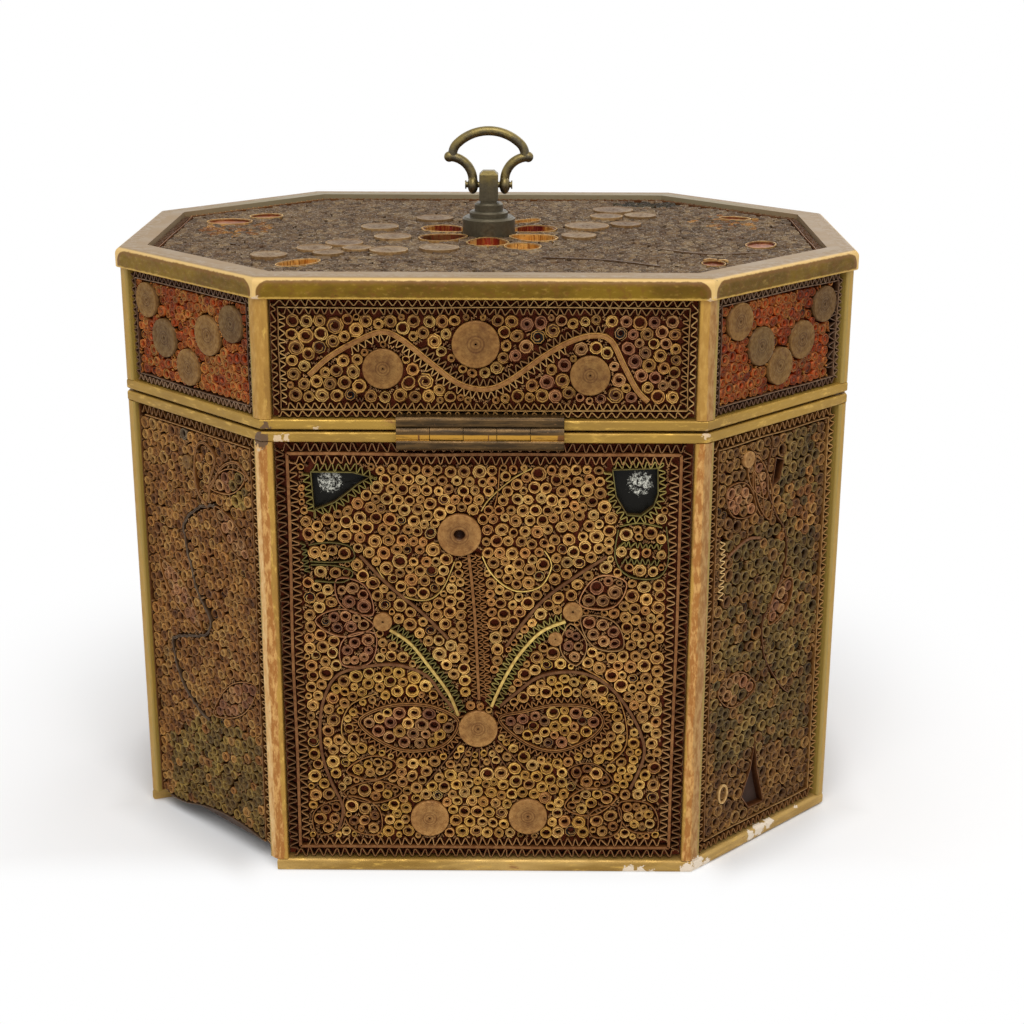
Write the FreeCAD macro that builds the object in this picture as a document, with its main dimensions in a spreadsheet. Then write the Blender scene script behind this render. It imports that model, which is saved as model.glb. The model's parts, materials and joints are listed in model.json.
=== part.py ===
import FreeCAD, Part
import Sketcher
import math
import os
from types import SimpleNamespace

# Quillwork tea caddy: a long octagonal box of mitred boards, faced with panels of rolled paper
# between gilt strips, with a hinged lid, a swinging bail handle, an inner cover and a lock.
# Millimetres. +Z is up, the origin is the middle of the underside, the hinged side faces -Y,
# the lock side faces +Y, and +X is on the right of someone who faces the hinge.

doc = FreeCAD.newDocument("quillwork_tea_caddy")
sheet = doc.addObject("Spreadsheet::Sheet", "dims")

carcass_sizes = {
    "body_width": 167.8,           # over the gilt strips, left to right
    "body_depth": 124.8,           # over the gilt strips, hinge side to lock side
    "cant_extent": 35.8,           # what each cut corner takes from the width and the depth
    "body_height": 105.8,          # floor to the joint
    "lid_height": 33.7,            # joint to the top of the lid's border
    "joint_gap": 0.5,
    "wall_thickness": 5.5,
    "base_board_thickness": 5.0,
    "base_board_lift": 0.4,
    "lid_board_thickness": 5.0,
    "lining_thickness": 0.4,
    "lining_shortfall": 0.8,       # the foil stops this far short of each rim
}

gilding_sizes = {
    "moulding_thickness": 3.2,     # how far the gilt strips stand out from the carcass
    "base_strip_height": 3.1,
    "rim_strip_height": 2.3,
    "bead_leg": 2.6,
    "edge_strip_height": 4.7,
    "lid_overhang": 0.8,
    "top_border_width": 6.9,       # seen from above, with the overhang
    "bead_round": 2.0,
    "base_round": 0.9,
    "rim_round": 0.5,
    "edge_round": 1.6,
}

quillwork_sizes = {
    "quill_thickness": 2.6,
    "quill_clearance": 0.15,
    "rosette_radius": 4.35,
    "rosette_rise": 0.3,
    "petal_inner_reach": 9.4,      # from the handle to the narrow end's centre
    "petal_outer_reach": 15.0,
    "petal_inner_radius": 2.2,
    "petal_outer_radius": 4.1,
    "mica_thickness": 0.5,
    "worn_arch_radius": 60.0,      # the worn lower edge beside the missing base strip
    "worn_arch_crown": 6.2,
}

cover_sizes = {
    "cover_seat_depth": 6.0,       # rim down to the ledge
    "ledge_width": 3.0,
    "ledge_height": 3.0,
    "cover_thickness": 3.0,
    "cover_clearance": 0.6,
    "seat_gap": 0.1,
    "cover_knob_height": 8.0,
    "cover_knob_radius": 4.2,
    "cover_peg_radius": 1.5,
}

hinge_sizes = {
    "hinge_width": 35.9,
    "hinge_offset": 0.75,          # the hinge sits this far left of the middle
    "hinge_out": 0.9,              # pin axis beyond the gilt strips
    "barrel_radius": 1.8,
    "hinge_pin_radius": 0.8,
    "knuckle_relief": 0.15,
    "knuckle_gap": 0.15,
    "leaf_thickness": 1.0,
    "leaf_reach": 7.2,
    "cheek_out": 2.4,              # cheek face beyond the gilt strips
    "cheek_drop": 3.4,
    "cheek_chamfer": 0.5,
    "leaf_fit": 0.1,
}

handle_sizes = {
    "rose_radius": 6.3,
    "rose_height": 3.1,            # above the lid's border
    "rose_chamfer": 0.5,
    "lower_tier_radius": 4.6,
    "lower_tier_height": 1.4,
    "upper_tier_radius": 3.4,
    "upper_tier_height": 1.9,
    "tier_chamfer": 0.4,
    "neck_side": 3.9,
    "neck_height": 0.6,
    "block_side": 4.5,
    "block_height": 7.0,
    "block_chamfer": 0.9,
    "pivot_height": 3.6,           # above the underside of the block
    "stem_radius": 1.5,
    "washer_radius": 4.0,
    "washer_thickness": 0.8,
    "nut_radius": 3.0,
    "nut_height": 2.2,
    "stem_end": 0.6,               # stem shown below the nut
    "bail_pin_radius": 0.7,
    "bail_pin_head_radius": 1.0,
    "bail_pin_head_length": 0.3,
    "eye_radius": 2.2,
    "eye_width": 2.6,
    "eye_gap": 0.25,
    "wire_radius": 1.1,
    "leg_offset": 3.8,
    "leg_start": 1.0,
    "knob_offset": 9.4,
    "knob_rise": 6.6,
    "knob_radius": 1.25,
    "arch_half_span": 8.6,
    "arch_spring": 7.1,
    "arch_rise": 5.6,
    "arch_side_radius": 3.6,
}

fastener_sizes = {
    "running_clearance": 0.05,
    "screw_head_radius": 1.3,
    "screw_shank_radius": 0.65,
    "screw_length": 6.5,
    "screw_tip": 1.2,
    "hinge_screw_pitch": 12.5,
    "hinge_screw_inset": 5.4,      # from the face of the gilt strips
}

lock_sizes = {
    "lock_width": 26.0,
    "lock_height": 17.0,
    "lock_depth": 4.2,
    "lock_wall": 0.6,
    "lock_plate_width": 34.0,
    "lock_plate_thickness": 1.0,
    "link_plate_width": 28.0,
    "link_plate_thickness": 1.0,
    "staple_length": 1.6,
    "staple_width": 2.2,
    "staple_depth": 6.0,
    "staple_inset": 6.6,           # from the face of the gilt strips to the staple's middle
    "eye_drop": 2.5,               # plate face down to the top of the staple's eye
    "staple_eye_height": 2.6,
    "staple_eye_width": 1.4,
    "slot_clearance": 0.55,
    "bolt_nose_length": 3.8,
    "bolt_nose_height": 2.0,
    "bolt_nose_width": 1.0,
    "bolt_tail_length": 4.0,
    "bolt_gap": 0.8,               # staple side to the tip of the drawn-back bolt
    "bolt_clearance": 0.25,
    "chamber_height": 5.4,
    "chamber_reach": 3.6,          # lock middle to the chamber's far end
    "key_depth": 14.5,             # rim down to the keyhole
    "keyhole_radius": 1.2,
    "keyhole_slot_width": 1.2,
    "keyhole_slot_drop": 3.6,
    "escutcheon_radius": 5.0,
    "escutcheon_chamfer": 0.6,
    "lock_screw_offset": 15.0,
    "link_screw_offset": 10.5,
}

lid_opening = 100.0                # degrees
stop_slack = 1.0                   # degrees left between the hinge's stop faces
mitre_share = math.tan(math.radians(22.5))
bead_run_share = math.cos(math.radians(22.5))
bead_fall_share = math.sin(math.radians(22.5))
hinge_knuckles = 5
petal_count = 6
worn_arch_share = 0.12             # the arch's middle, as a share of the cut corner's face
# The inner cover's knob above the board: shares of its radius and of its height.
cover_knob_shares = ((0.70, 0.0), (0.45, 0.35), (1.0, 0.62), (0.82, 0.87), (0.40, 1.0))

# Rosettes of tightly rolled paper: shares of half the face, of the height of the body or lid,
# and of the rosette radius.
back_body_rosette_shares = (
    (-0.106, 0.783, 1.10), (-0.028, 0.339, 1.01), (-0.262, 0.125, 1.0), (0.208, 0.131, 1.0),
    (-0.471, 0.583, 0.48), (0.410, 0.608, 0.50), (0.331, 0.546, 0.38),
)
front_body_rosette_shares = (
    (0.0, 0.339, 1.05), (-0.25, 0.13, 1.0), (0.25, 0.13, 1.0), (-0.45, 0.60, 0.5), (0.45, 0.60, 0.5),
)
side_body_rosette_shares = ((0.0, 0.76, 1.0), (0.0, 0.34, 1.0), (-0.45, 0.14, 0.8), (0.45, 0.14, 0.8))
cant_body_rosette_shares = ((0.0, 0.80, 0.6), (-0.3, 0.25, 0.6))
back_lid_rosette_shares = ((-0.035, 0.567, 1.18), (-0.448, 0.406, 1.0), (0.473, 0.367, 0.99))
side_lid_rosette_shares = ((0.0, 0.57, 1.1), (-0.55, 0.40, 0.9), (0.55, 0.40, 0.9))
left_cant_lid_rosette_shares = (
    (-0.590, 0.694, 0.94), (-0.347, 0.455, 1.0), (-0.008, 0.291, 0.94), (0.309, 0.548, 1.01),
    (0.631, 0.672, 0.92),
)
right_cant_lid_rosette_shares = (
    (-0.643, 0.669, 0.92), (-0.337, 0.478, 1.0), (-0.066, 0.301, 0.99), (0.239, 0.451, 1.01),
    (0.552, 0.660, 0.97),
)
# Windows for the two mica pieces: shares of half the face and of the body's height.
left_window_shares = ((-0.777, 0.921), (-0.725, 0.840), (-0.517, 0.909))
right_window_shares = ((0.585, 0.922), (0.615, 0.872), (0.681, 0.826), (0.779, 0.848), (0.794, 0.919))


class Size:
    # A length with its value now and the sheet formula that gives it.

    def __init__(self, value, text):
        self.value = value
        self.text = text

    def __add__(self, other):
        other = as_size(other)
        return Size(self.value + other.value, "(%s + %s)" % (self.text, other.text))

    def __sub__(self, other):
        other = as_size(other)
        return Size(self.value - other.value, "(%s - %s)" % (self.text, other.text))

    def __mul__(self, factor):
        factor = as_size(factor)
        return Size(self.value * factor.value, "(%s * %s)" % (self.text, factor.text))

    def __truediv__(self, factor):
        factor = as_size(factor)
        return Size(self.value / factor.value, "(%s / %s)" % (self.text, factor.text))

    def __neg__(self):
        return Size(-self.value, "(-%s)" % self.text)


def as_size(item):
    if isinstance(item, Size):
        return item
    return Size(item, "(%r)" % item)


def fill_sheet(groups):
    named = {}
    row = 0
    for group_sizes in groups:
        for alias, value in group_sizes.items():
            row += 1
            sheet.set("A%d" % row, alias)
            sheet.set("B%d" % row, str(value))
            sheet.setAlias("B%d" % row, alias)
            named[alias] = Size(value, "dims." + alias)
    doc.recompute()
    return SimpleNamespace(**named)


d = fill_sheet((
    carcass_sizes, gilding_sizes, quillwork_sizes, cover_sizes, hinge_sizes, handle_sizes,
    fastener_sizes, lock_sizes,
))
nodes = {}


# Drawing helpers

def bind(item, name, size):
    item.setExpression(name, as_size(size).text)


def new_body(label):
    body = doc.addObject("PartDesign::Body", label)
    body.Label = label
    return body


def plane_of(body, role):
    return next(item for item in body.Origin.OriginFeatures if item.Role == role)


def new_sketch(body, name, role="XY_Plane", offset=None):
    sketch = body.newObject("Sketcher::SketchObject", name)
    sketch.AttachmentSupport = (plane_of(body, role), [""])
    sketch.MapMode = "FlatFace"
    if offset is not None:
        sketch.AttachmentOffset = FreeCAD.Placement(FreeCAD.Vector(0, 0, offset.value), FreeCAD.Rotation())
        bind(sketch, ".AttachmentOffset.Base.z", offset)
    return sketch


def constrain(sketch, constraint, size):
    index = sketch.addConstraint(constraint)
    sketch.setExpression("Constraints[%d]" % index, size.text)


def fix(sketch, geometry, point, axis, place):
    place = as_size(place)
    kind = "Distance" + axis
    if place.value == 0:
        line = -2 if axis == "X" else -1
        sketch.addConstraint(Sketcher.Constraint("PointOnObject", geometry, point, line))
    elif place.value < 0:
        constrain(sketch, Sketcher.Constraint(kind, geometry, point, -1, 1, -place.value), -place)
    else:
        constrain(sketch, Sketcher.Constraint(kind, -1, 1, geometry, point, place.value), place)


def outline(sketch, points):
    first = sketch.GeometryCount
    corners = [FreeCAD.Vector(as_size(x).value, as_size(y).value, 0) for x, y in points]
    count = len(points)
    for number in range(count):
        sketch.addGeometry(Part.LineSegment(corners[number], corners[(number + 1) % count]))
    for number in range(count):
        following = first + (number + 1) % count
        sketch.addConstraint(Sketcher.Constraint("Coincident", first + number, 2, following, 1))
    for number, (x, y) in enumerate(points):
        fix(sketch, first + number, 1, "X", x)
        fix(sketch, first + number, 1, "Y", y)


def circle(sketch, x, y, radius):
    middle = FreeCAD.Vector(as_size(x).value, as_size(y).value, 0)
    geometry = sketch.addGeometry(Part.Circle(middle, FreeCAD.Vector(0, 0, 1), radius.value))
    fix(sketch, geometry, 3, "X", x)
    fix(sketch, geometry, 3, "Y", y)
    constrain(sketch, Sketcher.Constraint("Radius", geometry, radius.value), radius)


def rectangle(sketch, left, bottom, right, top):
    outline(sketch, ((left, bottom), (right, bottom), (right, top), (left, top)))


def pad(body, sketch, length, reverse=False):
    feature = body.newObject("PartDesign::Pad", sketch.Name + "_pad")
    feature.Profile = sketch
    feature.Reversed = reverse
    bind(feature, "Length", length)
    doc.recompute()
    return feature


def pocket(body, sketch, depth, reverse=False):
    before = body.Tip.Shape.Volume
    feature = body.newObject("PartDesign::Pocket", sketch.Name + "_cut")
    feature.Profile = sketch
    feature.Reversed = reverse
    bind(feature, "Length", depth)
    doc.recompute()
    if not feature.Shape.Volume < before:
        raise ValueError(feature.Name + " cuts nothing")
    return feature


def revolve(body, sketch):
    feature = body.newObject("PartDesign::Revolution", sketch.Name + "_turned")
    feature.Profile = sketch
    feature.ReferenceAxis = (sketch, ["V_Axis"])
    feature.Angle = 360
    doc.recompute()
    return feature


def drill(body, name, x, y, low, depth, radius, top_radius=None):
    # an upright round hole, tapered where a second radius is given
    kind = "PartDesign::SubtractiveCylinder" if top_radius is None else "PartDesign::SubtractiveCone"
    hole = body.newObject(kind, name)
    hole.AttachmentSupport = (plane_of(body, "XY_Plane"), [""])
    hole.MapMode = "FlatFace"
    for axis, place in (("x", x), ("y", y), ("z", low)):
        bind(hole, ".AttachmentOffset.Base." + axis, place)
    bind(hole, "Height", depth)
    if top_radius is None:
        bind(hole, "Radius", radius)
    else:
        bind(hole, "Radius1", radius)
        bind(hole, "Radius2", top_radius)
    doc.recompute()


def dress(body, kind, name, size, chosen):
    # fillets or chamfers the edges that chosen picks out
    base = body.Tip
    edges = ["Edge%d" % number for number, edge in enumerate(base.Shape.Edges, 1) if chosen(edge)]
    if not edges:
        raise ValueError(name + " finds no edge")
    feature = body.newObject("PartDesign::" + kind, name)
    feature.Base = (base, edges)
    bind(feature, "Radius" if kind == "Fillet" else "Size", size)
    doc.recompute()


def near(first, second):
    return math.isclose(first, second, abs_tol=1e-5)


def at_level(edge, level):
    return near(edge.BoundBox.ZMin, level.value) and near(edge.BoundBox.ZMax, level.value)


def on_front(edge):
    return near(edge.BoundBox.YMin, 0) and near(edge.BoundBox.YMax, 0) and not near(edge.BoundBox.XLength, 0)


# The long octagon and its eight faces

half_width = d.body_width / 2
half_depth = d.body_depth / 2
half_face = half_width - d.cant_extent
half_side = half_depth - d.cant_extent
spans = {
    "long": half_face * 2,
    "side": half_side * 2,
    "cant": d.cant_extent * math.sqrt(2),
}
face_kinds = {
    "back": "long", "back_right": "cant", "right": "side", "front_right": "cant",
    "front": "long", "front_left": "cant", "left": "side", "back_left": "cant",
}
faces = list(face_kinds)
corners = [
    (-half_face, -half_depth), (half_face, -half_depth), (half_width, -half_side), (half_width, half_side),
    (half_face, half_depth), (-half_face, half_depth), (-half_width, half_side), (-half_width, -half_side),
]


def corner_point(number):
    x, y = corners[number % len(corners)]
    return FreeCAD.Vector(x.value, y.value, 0)


def turned(degrees):
    return FreeCAD.Rotation(FreeCAD.Vector(0, 0, 1), degrees)


def on_face(face, inset, height, along=None):
    # a frame with X along the face, Y into the box and Z up
    number = faces.index(face)
    middle = (corner_point(number) + corner_point(number + 1)) / 2
    rotation = turned(45 * number)
    sideways = 0 if along is None else along.value
    shift = rotation.multVec(FreeCAD.Vector(sideways, as_size(inset).value, as_size(height).value))
    return FreeCAD.Placement(middle + shift, rotation)


def span_at(kind, inset):
    return spans[kind] - as_size(inset) * (2 * mitre_share)


def octagon(sketch, inset):
    run = as_size(inset) * mitre_share
    wide, deep = half_width - inset, half_depth - inset
    face, side = half_face - run, half_side - run
    outline(sketch, (
        (-face, -deep), (face, -deep), (wide, -side), (wide, side),
        (face, deep), (-face, deep), (-wide, side), (-wide, -side),
    ))


def board(label, kind, inset, thickness, height):
    # a mitred board, outer face on Y = 0 and underside on Z = 0
    body = new_body(label)
    sketch = new_sketch(body, label + "_plan")
    outer = span_at(kind, inset) / 2
    inner = span_at(kind, as_size(inset) + thickness) / 2
    outline(sketch, ((-outer, 0), (outer, 0), (inner, thickness), (-inner, thickness)))
    pad(body, sketch, height)
    return body


def group(label, members):
    links = []
    for number, (master, placement) in enumerate(members, 1):
        link = doc.addObject("App::Link", "%s_%d" % (label, number))
        link.LinkedObject = master
        link.Placement = placement
        links.append(link)
    compound = doc.addObject("Part::Compound", label)
    compound.Label = label
    compound.Links = links
    nodes[label] = compound


def place(body, placement):
    body.Placement = placement
    nodes[body.Label] = body


def ring_of_boards(label, inset, thickness, height, level, chosen=faces, finish=None):
    # one mitred strip on each chosen face, drawn once for each length
    masters = {}
    for face in chosen:
        kind = face_kinds[face]
        if kind not in masters:
            masters[kind] = board(label + "_" + kind, kind, inset, thickness, height)
            if finish is not None:
                finish(masters[kind])
    group(label, [(masters[face_kinds[face]], on_face(face, inset, level)) for face in chosen])


lid_bottom = d.body_height + d.joint_gap
lid_top = d.body_height + d.lid_height
lid_board_top = lid_top - d.moulding_thickness
lid_board_bottom = lid_board_top - d.lid_board_thickness
body_wall_height = d.body_height - d.base_strip_height
lid_wall_height = lid_board_bottom - lid_bottom
inner_inset = d.moulding_thickness + d.wall_thickness
hinge_axis_height = d.body_height + d.joint_gap / 2


# Walls, boards and linings

def recess_at_rim(body, name, low, high, half_length, near_y, far_y, middle=0):
    # a shallow tray in a wall, from one height to another
    sketch = new_sketch(body, name, offset=low)
    middle = as_size(middle)
    rectangle(sketch, middle - half_length, near_y, middle + half_length, far_y)
    pocket(body, sketch, high - low, reverse=True)


leaf_recess_end = d.leaf_reach + d.leaf_fit - d.moulding_thickness
leaf_recess_half = d.hinge_width / 2 + d.leaf_fit
hinge_screw_places = (-d.hinge_screw_pitch, as_size(0), d.hinge_screw_pitch)
pilot_radius = d.screw_shank_radius + d.running_clearance
pilot_depth = d.screw_length - d.leaf_thickness + d.running_clearance
lock_front = inner_inset - d.lock_depth
lock_face_y = lock_front - d.moulding_thickness

back_wall = board("body_back_wall", "long", d.moulding_thickness, d.wall_thickness, body_wall_height)
recess_at_rim(
    back_wall, "leaf_tray", body_wall_height - d.leaf_thickness, body_wall_height,
    leaf_recess_half, 0, leaf_recess_end, -d.hinge_offset,
)
for number, offset in enumerate(hinge_screw_places):
    drill(
        back_wall, "back_pilot_%d" % number, offset - d.hinge_offset,
        d.hinge_screw_inset - d.moulding_thickness,
        body_wall_height - d.leaf_thickness - pilot_depth, pilot_depth, pilot_radius,
    )
place(back_wall, on_face("back", d.moulding_thickness, d.base_strip_height))

front_wall = board("body_front_wall", "long", d.moulding_thickness, d.wall_thickness, body_wall_height)
recess_at_rim(
    front_wall, "lock_plate_tray", body_wall_height - d.lock_plate_thickness, body_wall_height,
    d.lock_plate_width / 2 + d.leaf_fit, lock_face_y - d.leaf_fit, d.wall_thickness,
)
recess_at_rim(
    front_wall, "lock_mortise", body_wall_height - d.lock_plate_thickness - d.lock_height - d.leaf_fit,
    body_wall_height - d.lock_plate_thickness,
    d.lock_width / 2 + d.leaf_fit, lock_face_y - d.leaf_fit, d.wall_thickness,
)
lock_pilot_depth = d.screw_length - d.lock_plate_thickness + d.running_clearance
lock_screw_y = (lock_front + inner_inset) / 2 - d.moulding_thickness
for number, offset in enumerate((-d.lock_screw_offset, d.lock_screw_offset)):
    drill(
        front_wall, "lock_pilot_%d" % number, offset, lock_screw_y,
        body_wall_height - d.lock_plate_thickness - lock_pilot_depth, lock_pilot_depth, pilot_radius,
    )


def keyhole(body, name, height, depth, start=None, reverse=False):
    # round above, with a straight slot below for the key's bit
    round_hole = new_sketch(body, name + "_round", "XZ_Plane", start)
    circle(round_hole, 0, height, d.keyhole_radius)
    pocket(body, round_hole, depth, reverse)
    slot = new_sketch(body, name + "_slot", "XZ_Plane", start)
    half = d.keyhole_slot_width / 2
    rectangle(slot, -half, height - d.keyhole_slot_drop, half, height)
    pocket(body, slot, depth, reverse)


keyhole(
    front_wall, "wall_keyhole", body_wall_height - d.key_depth, d.wall_thickness,
    start=as_size(0),
)
place(front_wall, on_face("front", d.moulding_thickness, d.base_strip_height))

ring_of_boards(
    "body_side_walls", d.moulding_thickness, d.wall_thickness, body_wall_height, d.base_strip_height,
    ("right", "left"),
)
cants = ("back_right", "front_right", "front_left", "back_left")
ring_of_boards(
    "body_corner_walls", d.moulding_thickness, d.wall_thickness, body_wall_height, d.base_strip_height,
    cants,
)

lid_back_wall = board("lid_back_wall", "long", d.moulding_thickness, d.wall_thickness, lid_wall_height)
recess_at_rim(
    lid_back_wall, "lid_leaf_tray", as_size(0), d.leaf_thickness,
    leaf_recess_half, 0, leaf_recess_end, -d.hinge_offset,
)
for number, offset in enumerate(hinge_screw_places):
    drill(
        lid_back_wall, "lid_back_pilot_%d" % number, offset - d.hinge_offset,
        d.hinge_screw_inset - d.moulding_thickness, d.leaf_thickness, pilot_depth, pilot_radius,
    )
place(lid_back_wall, on_face("back", d.moulding_thickness, lid_bottom))

lid_front_wall = board("lid_front_wall", "long", d.moulding_thickness, d.wall_thickness, lid_wall_height)
recess_at_rim(
    lid_front_wall, "link_tray", as_size(0), d.link_plate_thickness,
    d.link_plate_width / 2 + d.leaf_fit, lock_face_y - d.leaf_fit, d.wall_thickness,
)
link_pilot_depth = d.screw_length - d.link_plate_thickness + d.running_clearance
for number, offset in enumerate((-d.link_screw_offset, d.link_screw_offset)):
    drill(
        lid_front_wall, "link_pilot_%d" % number, offset, lock_screw_y,
        d.link_plate_thickness, link_pilot_depth, pilot_radius,
    )
place(lid_front_wall, on_face("front", d.moulding_thickness, lid_bottom))

ring_of_boards(
    "lid_side_walls", d.moulding_thickness, d.wall_thickness, lid_wall_height, lid_bottom,
    ("right", "left"),
)
ring_of_boards(
    "lid_corner_walls", d.moulding_thickness, d.wall_thickness, lid_wall_height, lid_bottom, cants,
)


def octagon_slab(label, inset, thickness, level):
    body = new_body(label)
    sketch = new_sketch(body, label + "_plan")
    octagon(sketch, inset)
    pad(body, sketch, thickness)
    place(body, FreeCAD.Placement(FreeCAD.Vector(0, 0, level.value), FreeCAD.Rotation()))
    return body


octagon_slab("base_board", inner_inset, d.base_board_thickness, d.base_board_lift)
lid_board = octagon_slab("lid_top_board", d.moulding_thickness, d.lid_board_thickness, lid_board_bottom)
drill(
    lid_board, "stem_hole", as_size(0), as_size(0), as_size(0), d.lid_board_thickness,
    d.stem_radius + d.running_clearance,
)

lining_level = d.base_board_lift + d.base_board_thickness
lining_height = d.body_height - d.lining_shortfall - lining_level
tea_lining = octagon_slab("tea_lining", inner_inset, lining_height, lining_level)
tea_hollow = new_sketch(tea_lining, "tea_hollow", offset=d.lining_thickness)
octagon(tea_hollow, inner_inset + d.lining_thickness)
pocket(tea_lining, tea_hollow, lining_height - d.lining_thickness, reverse=True)

lid_lining_level = lid_bottom + d.lining_shortfall
lid_lining_height = lid_board_bottom - lid_lining_level
lid_lining = octagon_slab("lid_lining", inner_inset, lid_lining_height, lid_lining_level)
lid_hollow = new_sketch(lid_lining, "lid_hollow_plan")
octagon(lid_hollow, inner_inset + d.lining_thickness)
pocket(lid_lining, lid_hollow, lid_lining_height - d.lining_thickness, reverse=True)
drill(
    lid_lining, "washer_hole", as_size(0), as_size(0), lid_lining_height - d.lining_thickness,
    d.lining_thickness, d.washer_radius + d.leaf_fit,
)


# Gilt strips

def round_base(body):
    dress(body, "Fillet", body.Label + "_round", d.base_round, on_front)


def round_rim(body):
    dress(body, "Fillet", body.Label + "_round", d.rim_round, on_front)


def round_edge_strip(body):
    dress(
        body, "Fillet", body.Label + "_top_round", d.edge_round,
        lambda edge: on_front(edge) and at_level(edge, d.edge_strip_height),
    )
    dress(
        body, "Fillet", body.Label + "_low_round", d.rim_round,
        lambda edge: on_front(edge) and at_level(edge, as_size(0)),
    )


# The strip under the left cant of the hinge side is lost.
ring_of_boards(
    "base_mouldings", 0, inner_inset, d.base_strip_height, as_size(0),
    [face for face in faces if face != "back_left"], round_base,
)
ring_of_boards(
    "lid_edge_mouldings", -d.lid_overhang, d.moulding_thickness + d.lid_overhang, d.edge_strip_height,
    lid_top - d.edge_strip_height, finish=round_edge_strip,
)
ring_of_boards(
    "lid_top_border", d.moulding_thickness,
    d.top_border_width - d.lid_overhang - d.moulding_thickness, d.moulding_thickness, lid_board_top,
)


def rim_stub(label, side):
    # the hinge side's rim strip stops at the hinge: one square end, one mitred end
    body = new_body(label)
    sketch = new_sketch(body, label + "_plan")
    outer = spans["long"] / 2 * side
    inner = span_at("long", d.moulding_thickness) / 2 * side
    stop = -d.hinge_offset + leaf_recess_half * side
    points = ((stop, 0), (outer, 0), (inner, d.moulding_thickness), (stop, d.moulding_thickness))
    outline(sketch, points if side > 0 else points[::-1])
    pad(body, sketch, d.rim_strip_height)
    round_rim(body)
    return body


rim_masters = {
    kind: board("rim_strip_" + kind, kind, 0, d.moulding_thickness, d.rim_strip_height)
    for kind in spans
}
for master in rim_masters.values():
    round_rim(master)
rim_stubs = [rim_stub("rim_stub_left", -1), rim_stub("rim_stub_right", 1)]
for label, level in (
    ("body_rim_strips", d.body_height - d.rim_strip_height),
    ("lid_rim_strips", lid_bottom),
):
    members = [(stub, on_face("back", 0, level)) for stub in rim_stubs]
    members += [(rim_masters[face_kinds[face]], on_face(face, 0, level)) for face in faces[1:]]
    group(label, members)


def corner_bead(label, height):
    # an angle strip that wraps one corner, drawn with the corner on Z and the box towards +Y
    body = new_body(label)
    sketch = new_sketch(body, label + "_plan")
    leg, thick = d.bead_leg, d.moulding_thickness
    run, fall = bead_run_share, bead_fall_share
    outline(sketch, (
        (0, 0), (leg * run, leg * fall), (leg * run - thick * fall, leg * fall + thick * run),
        (0, thick / run), (thick * fall - leg * run, leg * fall + thick * run), (-leg * run, leg * fall),
    ))
    pad(body, sketch, height)
    ends = (leg * run).value
    dress(
        body, "Fillet", label + "_nose", d.bead_round,
        lambda edge: near(edge.BoundBox.YMax, 0) and near(edge.BoundBox.XLength, 0),
    )
    dress(
        body, "Fillet", label + "_sides", d.rim_round,
        lambda edge: near(abs(edge.CenterOfMass.x), ends) and near(edge.BoundBox.XLength, 0),
    )
    return body


def corner_places(level):
    for number in range(len(corners)):
        base = corner_point(number) + FreeCAD.Vector(0, 0, level.value)
        yield FreeCAD.Placement(base, turned(45 * number - 22.5))


body_bead = corner_bead("body_bead", d.body_height - d.rim_strip_height - d.base_strip_height)
group("body_corner_beads", [(body_bead, at) for at in corner_places(d.base_strip_height)])
lid_bead_level = lid_bottom + d.rim_strip_height
lid_bead = corner_bead("lid_bead", lid_top - d.edge_strip_height - lid_bead_level)
group("lid_corner_beads", [(lid_bead, at) for at in corner_places(lid_bead_level)])


# Quillwork panels

def quill_panel(label, face, low, high, foot, full_height, rosette_shares, notch=None):
    # a slab of rolled paper on the carcass face, with the rosettes a little proud of it
    kind = face_kinds[face]
    body = new_body(label)
    half = spans[kind] / 2 - d.bead_leg - d.quill_clearance
    bottom, top = d.quill_clearance, high - low - d.quill_clearance
    slab = new_sketch(body, label + "_slab", "XZ_Plane")
    left_notch = -d.hinge_offset - leaf_recess_half
    right_notch = leaf_recess_half - d.hinge_offset
    if notch == "top":
        step = d.body_height - d.cheek_drop - d.quill_clearance - low
        outline(slab, (
            (-half, bottom), (half, bottom), (half, top), (right_notch, top),
            (right_notch, step), (left_notch, step), (left_notch, top), (-half, top),
        ))
    elif notch == "bottom":
        step = lid_bottom + d.cheek_drop + d.quill_clearance - low
        outline(slab, (
            (-half, bottom), (left_notch, bottom), (left_notch, step), (right_notch, step),
            (right_notch, bottom), (half, bottom), (half, top), (-half, top),
        ))
    else:
        rectangle(slab, -half, bottom, half, top)
    pad(body, slab, d.quill_thickness - d.rosette_rise)
    discs = new_sketch(body, label + "_rosettes", "XZ_Plane")
    for x_share, height_share, radius_share in rosette_shares:
        circle(
            discs, spans[kind] / 2 * x_share, foot + full_height * height_share - low,
            d.rosette_radius * radius_share,
        )
    pad(body, discs, d.quill_thickness)
    place(body, on_face(face, d.moulding_thickness, low))
    return body


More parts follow.
